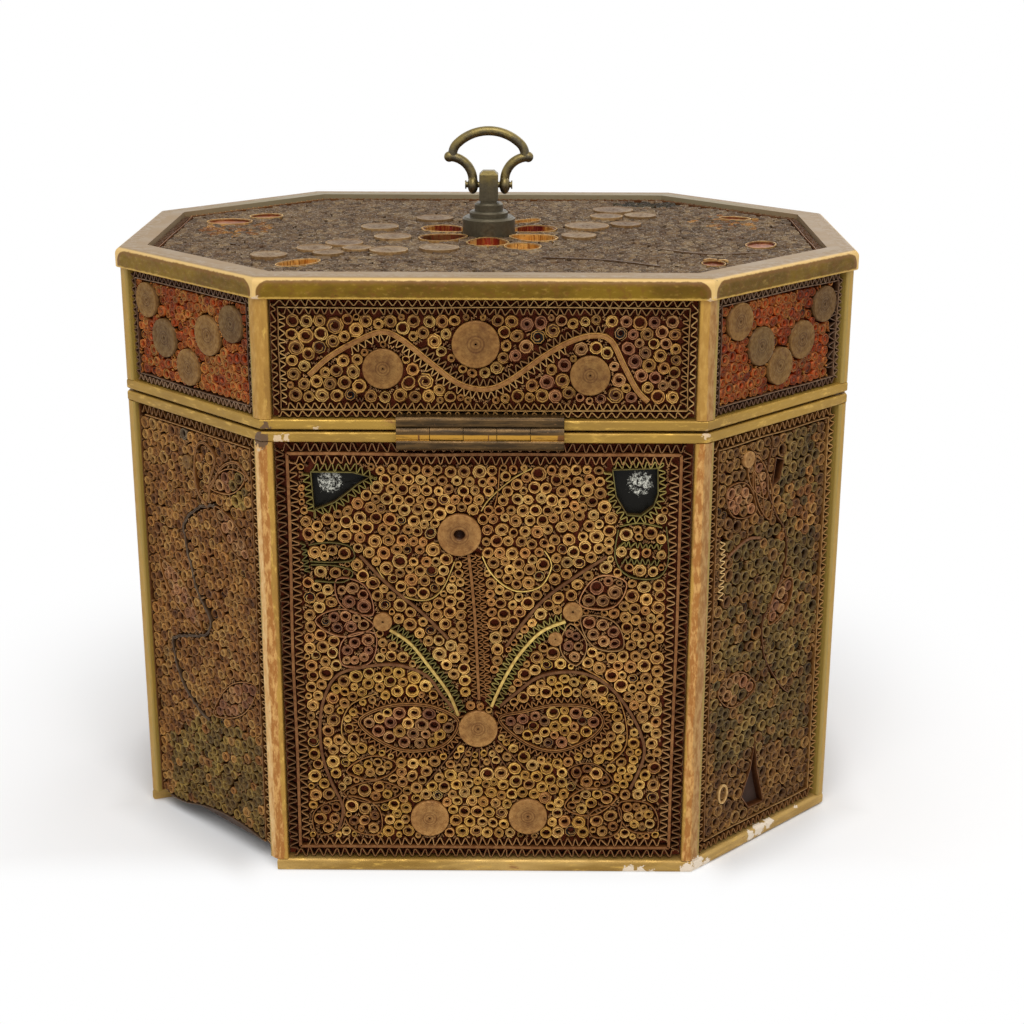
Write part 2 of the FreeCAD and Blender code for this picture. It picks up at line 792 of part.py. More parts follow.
body_panel_top = d.body_height - d.rim_strip_height
lid_panel_top = lid_top - d.edge_strip_height
body_rosettes = {
    "back": back_body_rosette_shares, "front": front_body_rosette_shares,
    "left": side_body_rosette_shares, "right": side_body_rosette_shares,
    "front_left": cant_body_rosette_shares, "front_right": cant_body_rosette_shares,
    "back_left": cant_body_rosette_shares[:1], "back_right": cant_body_rosette_shares[:1],
}
lid_rosettes = {
    "back": back_lid_rosette_shares, "front": back_lid_rosette_shares,
    "left": side_lid_rosette_shares, "right": side_lid_rosette_shares,
    "front_left": right_cant_lid_rosette_shares, "front_right": left_cant_lid_rosette_shares,
    "back_left": left_cant_lid_rosette_shares, "back_right": right_cant_lid_rosette_shares,
}
body_panels = {}
for face in faces:
    body_panels[face] = quill_panel(
        "body_quillwork_" + face, face, d.base_strip_height, body_panel_top, as_size(0), d.body_height,
        body_rosettes[face], "top" if face == "back" else None,
    )
    quill_panel(
        "lid_quillwork_" + face, face, lid_bead_level, lid_panel_top, d.body_height, d.lid_height,
        lid_rosettes[face], "bottom" if face == "back" else None,
    )

# The paper has worn away in a low arch where the base strip is lost.
worn = new_sketch(body_panels["back_left"], "worn_edge", "XZ_Plane")
circle(
    worn, spans["cant"] * worn_arch_share, d.worn_arch_crown - d.worn_arch_radius - d.base_strip_height,
    d.worn_arch_radius,
)
pocket(body_panels["back_left"], worn, d.quill_thickness, reverse=True)


def window_points(shares):
    return [
        (spans["long"] / 2 * x_share, d.body_height * height_share - d.base_strip_height)
        for x_share, height_share in shares
    ]


mica_pieces = []
for side, shares in (("left", left_window_shares), ("right", right_window_shares)):
    opening = new_sketch(body_panels["back"], side + "_window", "XZ_Plane")
    outline(opening, window_points(shares))
    pocket(body_panels["back"], opening, d.quill_thickness, reverse=True)
    mica = new_body(side + "_mica")
    plate = new_sketch(mica, side + "_mica_outline", "XZ_Plane")
    outline(plate, window_points(shares))
    pad(mica, plate, d.mica_thickness)
    mica_pieces.append((mica, on_face("back", d.moulding_thickness, d.base_strip_height)))
group("mica_inserts", mica_pieces)

key_level = d.body_height - d.key_depth
escutcheon_hole = new_sketch(body_panels["front"], "escutcheon_hole", "XZ_Plane")
circle(escutcheon_hole, 0, key_level - d.base_strip_height, d.escutcheon_radius + d.leaf_fit)
pocket(body_panels["front"], escutcheon_hole, d.quill_thickness, reverse=True)

top_panel = octagon_slab(
    "lid_top_quillwork", d.top_border_width - d.lid_overhang + d.quill_clearance,
    d.quill_thickness, lid_board_top,
)
rose_hole = new_sketch(top_panel, "rose_hole")
circle(rose_hole, 0, 0, d.rose_radius + d.quill_clearance)
pocket(top_panel, rose_hole, d.quill_thickness, reverse=True)


def petal(sketch):
    # a tapered slot along Y: two round ends joined by their tangents
    reach = d.petal_outer_reach - d.petal_inner_reach
    lean = math.asin((d.petal_outer_radius.value - d.petal_inner_radius.value) / reach.value)
    ends = []
    for middle, radius in (
        (d.petal_inner_reach, d.petal_inner_radius), (d.petal_outer_reach, d.petal_outer_radius),
    ):
        centre = FreeCAD.Vector(0, middle.value, 0)
        ends.append((centre, radius.value))
    (inner, inner_radius), (outer, outer_radius) = ends
    inner_arc = Part.Circle(inner, FreeCAD.Vector(0, 0, 1), inner_radius)
    outer_arc = Part.Circle(outer, FreeCAD.Vector(0, 0, 1), outer_radius)
    sketch.addGeometry(Part.ArcOfCircle(outer_arc, -lean, math.pi + lean))
    sketch.addGeometry(Part.ArcOfCircle(inner_arc, math.pi + lean, 2 * math.pi - lean))
    slope = FreeCAD.Vector(math.cos(lean), -math.sin(lean), 0)
    mirrored = FreeCAD.Vector(-slope.x, slope.y, 0)
    sketch.addGeometry(Part.LineSegment(outer + mirrored * outer_radius, inner + mirrored * inner_radius))
    sketch.addGeometry(Part.LineSegment(inner + slope * inner_radius, outer + slope * outer_radius))
    for first, first_end, second, second_end in ((0, 2, 2, 1), (2, 2, 1, 1), (1, 2, 3, 1), (3, 2, 0, 1)):
        sketch.addConstraint(Sketcher.Constraint("Tangent", first, first_end, second, second_end))
    for geometry, middle, radius in (
        (0, d.petal_outer_reach, d.petal_outer_radius), (1, d.petal_inner_reach, d.petal_inner_radius),
    ):
        fix(sketch, geometry, 3, "X", 0)
        fix(sketch, geometry, 3, "Y", middle)
        constrain(sketch, Sketcher.Constraint("Radius", geometry, radius.value), radius)


petal_plan = new_sketch(top_panel, "petal_plan")
petal(petal_plan)
petal_cell = pocket(top_panel, petal_plan, d.quill_thickness, reverse=True)
flower = top_panel.newObject("PartDesign::PolarPattern", "petal_ring")
flower.Originals = [petal_cell]
flower.Axis = (plane_of(top_panel, "Z_Axis"), [""])
flower.Angle = 360
flower.Occurrences = petal_count
top_panel.Tip = flower
doc.recompute()


# Inner cover on its ledge

ledge_inset = inner_inset + d.lining_thickness
cover_seat = d.body_height - d.cover_seat_depth
ring_of_boards("cover_ledge", ledge_inset, d.ledge_width, d.ledge_height, cover_seat - d.ledge_height)
cover_level = cover_seat + d.seat_gap
cover = octagon_slab("inner_cover", ledge_inset + d.cover_clearance, d.cover_thickness, cover_level)
drill(
    cover, "peg_hole", as_size(0), as_size(0), as_size(0), d.cover_thickness,
    d.cover_peg_radius + d.running_clearance,
)
cover_knob = new_body("inner_cover_knob")
knob_half = new_sketch(cover_knob, "cover_knob_half", "XZ_Plane")
knob_foot = d.cover_thickness
knob_points = [
    (d.cover_knob_radius * out_share, knob_foot + d.cover_knob_height * up_share)
    for out_share, up_share in cover_knob_shares
]
outline(knob_half, [
    (0, 0), (d.cover_peg_radius, 0), (d.cover_peg_radius, knob_foot), *knob_points,
    (0, knob_foot + d.cover_knob_height),
])
revolve(cover_knob, knob_half)
place(cover_knob, FreeCAD.Placement(FreeCAD.Vector(0, 0, cover_level.value), FreeCAD.Rotation()))


# Hinge: drawn about its pin, with Y into the box and Z up

stop_angle = math.radians((lid_opening + stop_slack) / 2)
stop_drop_share = math.tan(stop_angle)
knuckle_length = d.hinge_width / hinge_knuckles
half_hinge = d.hinge_width / 2
leaf_face = -d.joint_gap / 2


def hinge_leaf(label, relieved, side):
    # side is 1 for the body's leaf below the joint and -1 for the lid's leaf above it
    body = new_body(label)
    profile = new_sketch(body, label + "_profile", "YZ_Plane", -half_hinge)
    cheek = d.hinge_out - d.cheek_out
    back = d.moulding_thickness + d.hinge_out
    end = d.leaf_reach + d.hinge_out
    foot = leaf_face - d.cheek_drop
    points = (
        (0, 0), (cheek, cheek * stop_drop_share), (cheek, foot + d.cheek_chamfer),
        (cheek + d.cheek_chamfer, foot), (back, foot), (back, leaf_face - d.leaf_thickness),
        (end, leaf_face - d.leaf_thickness), (end, leaf_face), (d.barrel_radius, leaf_face),
    )
    if side < 0:
        points = [(across, up * -1 if isinstance(up, Size) else up) for across, up in points][::-1]
    outline(profile, points)
    pad(body, profile, d.hinge_width)
    barrel = new_sketch(body, label + "_barrel", "YZ_Plane", -half_hinge)
    circle(barrel, 0, 0, d.barrel_radius)
    pad(body, barrel, d.hinge_width)
    for number in relieved:
        start = knuckle_length * number - half_hinge - d.knuckle_gap / 2
        relief = new_sketch(body, "%s_relief_%d" % (label, number), "YZ_Plane", start)
        circle(relief, 0, 0, d.barrel_radius + d.knuckle_relief)
        pocket(body, relief, knuckle_length + d.knuckle_gap, reverse=True)
    bore = new_sketch(body, label + "_bore", "YZ_Plane", -half_hinge)
    circle(bore, 0, 0, d.hinge_pin_radius + d.running_clearance)
    pocket(body, bore, d.hinge_width, reverse=True)
    narrow = d.screw_shank_radius + d.running_clearance
    wide = d.screw_head_radius + d.running_clearance
    low = leaf_face - d.leaf_thickness if side > 0 else -leaf_face
    for number, offset in enumerate(hinge_screw_places):
        drill(
            body, "%s_hole_%d" % (label, number), offset, d.hinge_screw_inset + d.hinge_out, low,
            d.leaf_thickness, narrow if side > 0 else wide, wide if side > 0 else narrow,
        )
    place(body, on_face("back", -d.hinge_out, hinge_axis_height, -d.hinge_offset))


hinge_leaf("hinge_body_leaf", (1, 3), 1)
hinge_leaf("hinge_lid_leaf", (0, 2, 4), -1)
hinge_pin = new_body("hinge_pin")
pin_round = new_sketch(hinge_pin, "hinge_pin_round", "YZ_Plane", -half_hinge)
circle(pin_round, 0, 0, d.hinge_pin_radius)
pad(hinge_pin, pin_round, d.hinge_width)
place(hinge_pin, on_face("back", -d.hinge_out, hinge_axis_height, -d.hinge_offset))


# Screws: drawn with the head's face on Z = 0 and the point down

screw = new_body("wood_screw")
screw_half = new_sketch(screw, "wood_screw_half", "XZ_Plane")
outline(screw_half, (
    (0, 0), (d.screw_head_radius, 0), (d.screw_shank_radius, -d.leaf_thickness),
    (d.screw_shank_radius, d.screw_tip - d.screw_length), (0, -d.screw_length),
))
revolve(screw, screw_half)
upside_down = FreeCAD.Rotation(FreeCAD.Vector(1, 0, 0), 180)


def screw_row(label, face, offsets, inset, level, upward=False):
    members = []
    for offset in offsets:
        at = on_face(face, inset, level, offset)
        if upward:
            at = FreeCAD.Placement(at.Base, at.Rotation.multiply(upside_down))
        members.append((screw, at))
    group(label, members)


hinge_offsets = [offset - d.hinge_offset for offset in hinge_screw_places]
screw_row("hinge_body_screws", "back", hinge_offsets, d.hinge_screw_inset, d.body_height)
screw_row("hinge_lid_screws", "back", hinge_offsets, d.hinge_screw_inset, lid_bottom, True)
lock_screw_inset = lock_screw_y + d.moulding_thickness
lock_offsets = (-d.lock_screw_offset, d.lock_screw_offset)
screw_row("lock_screws", "front", lock_offsets, lock_screw_inset, d.body_height)
link_offsets = (-d.link_screw_offset, d.link_screw_offset)
screw_row("link_plate_screws", "front", link_offsets, lock_screw_inset, lid_bottom, True)


# Lock: case, plate, bolt, link plate and escutcheon, drawn on the front face's frame

case_top = d.body_height - d.lock_plate_thickness
chamber_floor = case_top - d.chamber_height
chamber_back = inner_inset - d.lock_wall
bolt_tip = d.staple_length / 2 + d.bolt_gap
tail_start = bolt_tip + d.bolt_nose_length
tail_end = tail_start + d.bolt_tail_length


def box_between(body, name, left, near_y, low, right, far_y, high):
    sketch = new_sketch(body, name, offset=low)
    rectangle(sketch, left, near_y, right, far_y)
    return sketch, high - low


lock_case = new_body("lock_case")
half_lock = d.lock_width / 2
sketch, height = box_between(
    lock_case, "case_block", -half_lock, lock_front, case_top - d.lock_height,
    half_lock, inner_inset, case_top,
)
pad(lock_case, sketch, height)
sketch, height = box_between(
    lock_case, "bolt_chamber", -d.chamber_reach, lock_front, chamber_floor,
    tail_end + d.bolt_clearance, chamber_back, case_top,
)
pocket(lock_case, sketch, height, reverse=True)
keyhole(lock_case, "case_keyhole", key_level, d.lock_depth - d.lock_wall, start=-lock_front)
place(lock_case, on_face("front", 0, 0))


def plate_holes(body, prefix, low, offsets, wide_low):
    narrow = d.screw_shank_radius + d.running_clearance
    wide = d.screw_head_radius + d.running_clearance
    for number, offset in enumerate(offsets):
        drill(
            body, "%s_%d" % (prefix, number), offset, lock_screw_inset, low, d.lock_plate_thickness,
            wide if wide_low else narrow, narrow if wide_low else wide,
        )


lock_plate = new_body("lock_plate")
half_plate = d.lock_plate_width / 2
sketch, height = box_between(
    lock_plate, "plate_outline", -half_plate, lock_front, case_top, half_plate, inner_inset, d.body_height,
)
pad(lock_plate, sketch, height)
slot_x = d.staple_length / 2 + d.slot_clearance
slot_y = d.staple_width / 2 + d.slot_clearance
sketch, height = box_between(
    lock_plate, "staple_slot", -slot_x, d.staple_inset - slot_y, case_top,
    slot_x, d.staple_inset + slot_y, d.body_height,
)
pocket(lock_plate, sketch, height, reverse=True)
plate_holes(lock_plate, "plate_hole", case_top, lock_offsets, False)
place(lock_plate, on_face("front", 0, 0))

link_plate = new_body("link_plate")
half_link = d.link_plate_width / 2
sketch, height = box_between(
    link_plate, "link_outline", -half_link, lock_front, lid_bottom,
    half_link, inner_inset, lid_bottom + d.link_plate_thickness,
)
pad(link_plate, sketch, height)
staple_near = d.staple_inset - d.staple_width / 2
staple_far = d.staple_inset + d.staple_width / 2
sketch, height = box_between(
    link_plate, "staple_outline", -d.staple_length / 2, staple_near, lid_bottom - d.staple_depth,
    d.staple_length / 2, staple_far, lid_bottom,
)
pad(link_plate, sketch, height)
eye_top = lid_bottom - d.eye_drop
eye_half = d.staple_eye_width / 2
staple_eye = new_sketch(link_plate, "staple_eye", "YZ_Plane", -d.staple_length / 2)
rectangle(
    staple_eye, d.staple_inset - eye_half, eye_top - d.staple_eye_height,
    d.staple_inset + eye_half, eye_top,
)
pocket(link_plate, staple_eye, d.staple_length, reverse=True)
plate_holes(link_plate, "link_hole", lid_bottom, link_offsets, True)
place(link_plate, on_face("front", 0, 0))

lock_bolt = new_body("lock_bolt")
nose_middle = eye_top - d.staple_eye_height / 2
sketch, height = box_between(
    lock_bolt, "bolt_tail", tail_start, lock_front + d.bolt_clearance,
    chamber_floor + d.bolt_clearance, tail_end, chamber_back - d.bolt_clearance,
    case_top - d.bolt_clearance,
)
pad(lock_bolt, sketch, height)
sketch, height = box_between(
    lock_bolt, "bolt_nose", bolt_tip, d.staple_inset - d.bolt_nose_width / 2,
    nose_middle - d.bolt_nose_height / 2, tail_start, d.staple_inset + d.bolt_nose_width / 2,
    nose_middle + d.bolt_nose_height / 2,
)
pad(lock_bolt, sketch, height)
place(lock_bolt, on_face("front", 0, 0))

escutcheon = new_body("keyhole_escutcheon")
disc = new_sketch(escutcheon, "escutcheon_disc", "XZ_Plane")
circle(disc, 0, 0, d.escutcheon_radius)
pad(escutcheon, disc, d.moulding_thickness)
dress(
    escutcheon, "Chamfer", "escutcheon_bevel", d.escutcheon_chamfer,
    lambda edge: near(edge.BoundBox.YMax, -d.moulding_thickness.value),
)
keyhole(escutcheon, "escutcheon_keyhole", as_size(0), d.moulding_thickness, reverse=True)
place(escutcheon, on_face("front", d.moulding_thickness, key_level))


# Handle: rose and post on the lid, bail on its pin

rose = new_body("handle_rose")
rose_half = new_sketch(rose, "rose_half", "XZ_Plane")
rose_bore = d.stem_radius + d.running_clearance
rose_top = d.moulding_thickness + d.rose_height
outline(rose_half, (
    (rose_bore, 0), (d.rose_radius, 0), (d.rose_radius, rose_top - d.rose_chamfer),
    (d.rose_radius - d.rose_chamfer, rose_top), (rose_bore, rose_top),
))
revolve(rose, rose_half)
place(rose, FreeCAD.Placement(FreeCAD.Vector(0, 0, lid_board_top.value), FreeCAD.Rotation()))

post = new_body("handle_post")
post_half = new_sketch(post, "post_half", "XZ_Plane")
post_seat = lid_top + d.rose_height
tier_top = post_seat + d.lower_tier_height
neck_foot = tier_top + d.upper_tier_height
block_foot = neck_foot + d.neck_height
nut_foot = lid_board_bottom - d.washer_thickness - d.nut_height
outline(post_half, (
    (0, nut_foot - d.stem_end), (d.stem_radius, nut_foot - d.stem_end), (d.stem_radius, post_seat),
    (d.lower_tier_radius, post_seat), (d.lower_tier_radius, tier_top - d.tier_chamfer),
    (d.lower_tier_radius - d.tier_chamfer, tier_top), (d.upper_tier_radius, tier_top),
    (d.upper_tier_radius, neck_foot - d.tier_chamfer), (d.upper_tier_radius - d.tier_chamfer, neck_foot),
    (0, neck_foot),
))
revolve(post, post_half)
for name, side, foot, height in (
    ("neck_square", d.neck_side, neck_foot, d.neck_height),
    ("block_square", d.block_side, block_foot, d.block_height),
):
    square = new_sketch(post, name, offset=foot)
    rectangle(square, -side / 2, -side / 2, side / 2, side / 2)
    pad(post, square, height)
block_top = block_foot + d.block_height
dress(
    post, "Chamfer", "block_bevel", d.block_chamfer,
    lambda edge: at_level(edge, block_top),
)
pivot_level = block_foot + d.pivot_height
pin_hole = new_sketch(post, "block_pin_hole", "YZ_Plane", -d.block_side / 2)
circle(pin_hole, 0, pivot_level, d.bail_pin_radius + d.running_clearance)
pocket(post, pin_hole, d.block_side, reverse=True)
nodes["handle_post"] = post


def turned_ring(label, inner_radius, outer_radius, height, level):
    body = new_body(label)
    sketch = new_sketch(body, label + "_plan")
    circle(sketch, 0, 0, outer_radius)
    circle(sketch, 0, 0, inner_radius)
    pad(body, sketch, height)
    place(body, FreeCAD.Placement(FreeCAD.Vector(0, 0, level.value), FreeCAD.Rotation()))


turned_ring(
    "handle_washer", rose_bore, d.washer_radius, d.washer_thickness,
    lid_board_bottom - d.washer_thickness,
)
nut = new_body("handle_nut")
nut_plan = new_sketch(nut, "nut_plan")
half_turn = d.nut_radius / 2
flat = d.nut_radius * math.cos(math.radians(30))
outline(nut_plan, (
    (d.nut_radius, 0), (half_turn, flat), (-half_turn, flat), (-d.nut_radius, 0),
    (-half_turn, -flat), (half_turn, -flat),
))
circle(nut_plan, 0, 0, rose_bore)
pad(nut, nut_plan, d.nut_height)
place(nut, FreeCAD.Placement(FreeCAD.Vector(0, 0, nut_foot.value), FreeCAD.Rotation()))

bail_pin = new_body("bail_pin")
pin_half = new_sketch(bail_pin, "bail_pin_half", "XZ_Plane")
pin_reach = d.block_side / 2 + d.eye_gap * 2 + d.eye_width
head_reach = pin_reach + d.bail_pin_head_length
outline(pin_half, (
    (0, -head_reach), (d.bail_pin_head_radius, -head_reach), (d.bail_pin_head_radius, -pin_reach),
    (d.bail_pin_radius, -pin_reach), (d.bail_pin_radius, pin_reach), (d.bail_pin_head_radius, pin_reach),
    (d.bail_pin_head_radius, head_reach), (0, head_reach),
))
revolve(bail_pin, pin_half)
pivot = FreeCAD.Vector(0, 0, pivot_level.value)
sideways = FreeCAD.Rotation(FreeCAD.Vector(0, 1, 0), 90)
place(bail_pin, FreeCAD.Placement(pivot, sideways))

bail_parts = []


def bail_arc(name, middle_x, middle_z, radius, start, sweep):
    # a stretch of round wire bent to one radius in the bail's own plane, seen from the hinge side
    arc = doc.addObject("Part::Torus", name)
    bind(arc, "Radius1", radius)
    bind(arc, "Radius2", d.wire_radius)
    arc.Angle3 = sweep
    flat_to_upright = FreeCAD.Rotation(FreeCAD.Vector(1, 0, 0), 90)
    middle = FreeCAD.Vector(as_size(middle_x).value, 0, as_size(middle_z).value)
    arc.Placement = FreeCAD.Placement(pivot + middle, flat_to_upright.multiply(turned(start)))
    bail_parts.append(arc)


def bail_solid(kind, name, middle, rotation, **bound):
    solid = doc.addObject("Part::" + kind, name)
    for property_name, size in bound.items():
        bind(solid, property_name, size)
    solid.Placement = FreeCAD.Placement(pivot + middle, rotation)
    return solid


side_middle = d.arch_half_span - d.arch_side_radius
arch_radius = (
    (d.arch_half_span * d.arch_half_span + d.arch_rise * d.arch_rise
     - d.arch_half_span * d.arch_side_radius * 2)
    / ((d.arch_rise - d.arch_side_radius) * 2)
)
arch_middle = d.arch_spring + d.arch_rise - arch_radius
half_arch = math.degrees(math.atan2(side_middle.value, (arch_radius - d.arch_rise).value))
bail_arc("arch_crown", 0, arch_middle, arch_radius, 90 - half_arch, 2 * half_arch)
leg_run = d.knob_offset - d.leg_offset
leg_climb = d.knob_rise - d.leg_start
leg_radius = (leg_run * leg_run + leg_climb * leg_climb) / (leg_run * 2)
leg_end = math.degrees(math.atan2(leg_climb.value, (leg_run - leg_radius).value))
eye_near = d.block_side / 2 + d.eye_gap
no_turn = FreeCAD.Rotation()
for name, side in (("left", -1), ("right", 1)):
    shoulder_start = 0 if side > 0 else 90 + half_arch
    bail_arc(
        name + "_shoulder", side_middle * side, d.arch_spring, d.arch_side_radius,
        shoulder_start, 90 - half_arch,
    )
    leg_middle = (d.leg_offset + leg_radius) * side
    leg_from = leg_end if side > 0 else 0
    bail_arc(name + "_leg", leg_middle, d.leg_start, leg_radius, leg_from, 180 - leg_end)
    knob_at = FreeCAD.Vector(d.knob_offset.value * side, 0, d.knob_rise.value)
    bail_parts.append(bail_solid("Sphere", name + "_cusp", knob_at, no_turn, Radius=d.knob_radius))
    eye_at = FreeCAD.Vector((eye_near + d.eye_width / 2).value * side, 0, 0)
    bail_parts.append(bail_solid(
        "Ellipsoid", name + "_eye", eye_at, sideways, Radius1=d.eye_width / 2, Radius2=d.eye_radius,
    ))
bail_body = doc.addObject("Part::MultiFuse", "bail_fused")
bail_body.Shapes = bail_parts
bore_at = FreeCAD.Vector(-head_reach.value, 0, 0)
bail_bore = bail_solid(
    "Cylinder", "bail_bore", bore_at, sideways,
    Radius=d.bail_pin_radius + d.running_clearance, Height=head_reach * 2,
)
bail = doc.addObject("Part::Cut", "bail_handle")
bail.Base = bail_body
bail.Tool = bail_bore
nodes["bail_handle"] = bail


# Check and write

doc.recompute()
for item in doc.Objects:
    if "Invalid" in item.State or "Error" in item.State:
        raise ValueError(item.Name + " failed")
for label, item in nodes.items():
    shape = item.Shape
    if shape.isNull() or not shape.isValid() or not shape.Solids:
        raise ValueError(label + " has no valid solid")
os.makedirs("parts", exist_ok=True)
for label, item in nodes.items():
    item.Shape.exportStep("parts/%s.step" % label)
    print("%-28s %2d solids %10.1f mm3" % (label, len(item.Shape.Solids), item.Shape.Volume))
print(len(nodes), "nodes")
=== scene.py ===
import json
import math

import bpy
import numpy as np
from mathutils import Matrix, Vector
from mathutils.kdtree import KDTree

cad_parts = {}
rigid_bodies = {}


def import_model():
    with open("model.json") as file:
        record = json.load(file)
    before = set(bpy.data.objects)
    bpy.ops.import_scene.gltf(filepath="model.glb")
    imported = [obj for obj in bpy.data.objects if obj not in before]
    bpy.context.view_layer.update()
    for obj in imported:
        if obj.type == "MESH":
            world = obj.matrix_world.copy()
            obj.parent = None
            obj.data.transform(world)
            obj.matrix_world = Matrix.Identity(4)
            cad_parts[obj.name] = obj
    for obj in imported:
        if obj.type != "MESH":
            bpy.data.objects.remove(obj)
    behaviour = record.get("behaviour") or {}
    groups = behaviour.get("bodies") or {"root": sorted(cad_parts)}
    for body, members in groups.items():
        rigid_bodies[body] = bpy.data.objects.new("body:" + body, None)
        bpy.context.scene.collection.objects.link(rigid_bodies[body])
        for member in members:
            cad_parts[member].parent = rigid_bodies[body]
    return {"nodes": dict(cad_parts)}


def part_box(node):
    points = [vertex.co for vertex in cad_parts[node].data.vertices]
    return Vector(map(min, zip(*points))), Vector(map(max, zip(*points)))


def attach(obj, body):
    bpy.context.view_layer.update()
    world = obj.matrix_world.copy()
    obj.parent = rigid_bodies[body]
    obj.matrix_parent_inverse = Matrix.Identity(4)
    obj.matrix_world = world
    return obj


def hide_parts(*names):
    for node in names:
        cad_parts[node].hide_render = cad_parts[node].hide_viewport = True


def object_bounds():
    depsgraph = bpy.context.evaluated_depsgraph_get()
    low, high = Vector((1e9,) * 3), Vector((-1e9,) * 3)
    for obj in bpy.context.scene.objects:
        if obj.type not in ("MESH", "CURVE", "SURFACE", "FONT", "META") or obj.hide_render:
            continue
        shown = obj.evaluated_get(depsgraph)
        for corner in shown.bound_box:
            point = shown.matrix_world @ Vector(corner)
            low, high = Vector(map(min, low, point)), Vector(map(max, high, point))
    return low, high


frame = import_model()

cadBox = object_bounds()
bpy.ops.object.select_all(action="DESELECT")
mm = 0.001
print("frame loaded:", len(frame["nodes"]), "nodes")


# Camera, light and floor

camera = {
    "azimuth": 0.293, "elevation": 17.991, "roll": 0.178,   # degrees
    "distance": 0.468648, "aimX": 0.005807, "aimZ": 0.067717,
    "lens": 65.085,
}
studio = {
    "fill": 0.62,                 # white world, as the object sees it
    "key": 11.0, "keySize": 0.9, "keyPlace": (0.05, -0.75, 1.15),
    "rim": 2.2, "rimSize": 0.7, "rimPlace": (0.5, 0.75, 0.8),
    "floorSize": 6.0,
    "shadowReach": 0.098, "whiteFrom": 0.19,   # from the middle: floor with shadow, then plain white
    "frontWhite": (-0.070, -0.050),           # and white in front of the hinge side
    # painted shadow: the floor's grey is darkened close beside the cut corners: how far out they start, how far it
    # reaches, its grey
    "cantFrom": (0.050, 0.060), "cantShadow": (0.001, 0.013), "contact": 0.80,
}


def aimCamera():
    azimuth, elevation, roll = (math.radians(camera[k]) for k in ("azimuth", "elevation", "roll"))
    back = Vector((
        math.sin(azimuth) * math.cos(elevation), -math.cos(azimuth) * math.cos(elevation), math.sin(elevation),
    ))
    right = Vector((math.cos(azimuth), math.sin(azimuth), 0))
    up = back.cross(right)
    turned = right * math.cos(roll) + up * math.sin(roll)
    raised = up * math.cos(roll) - right * math.sin(roll)
    lens = bpy.data.cameras.new("photoCamera")
    lens.sensor_width = 36
    lens.lens = camera["lens"]
    lens.clip_start, lens.clip_end = 0.01, 20
    eye = bpy.data.objects.new("photoCamera", lens)
    place = Vector((camera["aimX"], 0, camera["aimZ"])) + back * camera["distance"]
    turn = Matrix((turned, raised, back)).transposed()
    eye.matrix_world = Matrix.Translation(place) @ turn.to_4x4()
    bpy.context.scene.collection.objects.link(eye)
    bpy.context.scene.camera = eye


def softbox(name, place, size, power):
    lamp = bpy.data.lights.new(name, "AREA")
    lamp.shape = "SQUARE"
    lamp.size = size
    lamp.energy = power
    box = bpy.data.objects.new(name, lamp)
    box.location = place
    box.rotation_euler = (Vector((0, 0, 0.08)) - Vector(place)).to_track_quat("-Z", "Y").to_euler()
    bpy.context.scene.collection.objects.link(box)


# Material helpers

def paint(red, green, blue):
    # a colour as a screen shows it, 0 to 255
    shares = [part / 255 for part in (red, green, blue)]
    return (*[s / 12.92 if s <= 0.04045 else ((s + 0.055) / 1.055) ** 2.4 for s in shares], 1.0)


def startMaterial(name, roughness, metallic=0.0):
    material = bpy.data.materials.new(name)
    material.use_nodes = True
    shader = material.node_tree.nodes["Principled BSDF"]
    shader.inputs["Roughness"].default_value = roughness
    shader.inputs["Metallic"].default_value = metallic
    return material, material.node_tree, shader


def addNode(tree, kind, inputs=None, **settings):
    node = tree.nodes.new(kind)
    for key, value in settings.items():
        setattr(node, key, value)
    for key, value in (inputs or {}).items():
        if isinstance(value, bpy.types.NodeSocket):
            tree.links.new(value, node.inputs[key])
        else:
            node.inputs[key].default_value = value
    return node


def placeOn(tree, stretch=(1, 1, 1), turn=0.0):
    # the object's own coordinates, in millimetres
    where = addNode(tree, "ShaderNodeTexCoord").outputs["Object"]
    size = tuple(1 / (mm * s) for s in stretch)
    return addNode(tree, "ShaderNodeMapping", {"Vector": where, "Rotation": (0, 0, turn), "Scale": size}).outputs[0]


def cloud(tree, where, size, detail=3.0, roughness=0.55, twist=0.0):
    inputs = {"Vector": where, "Scale": 1 / size, "Detail": detail, "Roughness": roughness, "Distortion": twist}
    return addNode(tree, "ShaderNodeTexNoise", inputs).outputs["Fac"]


def awayFrom(tree, where, place):
    return addNode(tree, "ShaderNodeVectorMath", {0: where, 1: place}, operation="DISTANCE").outputs["Value"]


def ease(tree, value, low, high, bottom=0.0, top=1.0):
    inputs = {"Value": value, "From Min": low, "From Max": high, "To Min": bottom, "To Max": top}
    return addNode(tree, "ShaderNodeMapRange", inputs, interpolation_type="SMOOTHSTEP").outputs["Result"]


def sums(tree, operation, first, second=0.0, third=0.0):
    node = addNode(tree, "ShaderNodeMath", operation=operation)
    for socket, value in zip(node.inputs, (first, second, third)):
        if isinstance(value, bpy.types.NodeSocket):
            tree.links.new(value, socket)
        else:
            socket.default_value = value
    return node.outputs[0]


def mixed(tree, share, first, second, mode="MIX"):
    node = addNode(tree, "ShaderNodeMix", data_type="RGBA", blend_type=mode, clamp_factor=True)
    for socket, value in zip((node.inputs[0], node.inputs[6], node.inputs[7]), (share, first, second)):
        if isinstance(value, bpy.types.NodeSocket):
            tree.links.new(value, socket)
        else:
            socket.default_value = value
    return node.outputs[2]


def raised(tree, shader, height, depth, strength=1.0):
    inputs = {"Height": height, "Distance": depth * mm, "Strength": strength}
    tree.links.new(addNode(tree, "ShaderNodeBump", inputs).outputs[0], shader.inputs["Normal"])


def splitUp(tree, vector):
    return addNode(tree, "ShaderNodeSeparateXYZ", {"Vector": vector}).outputs


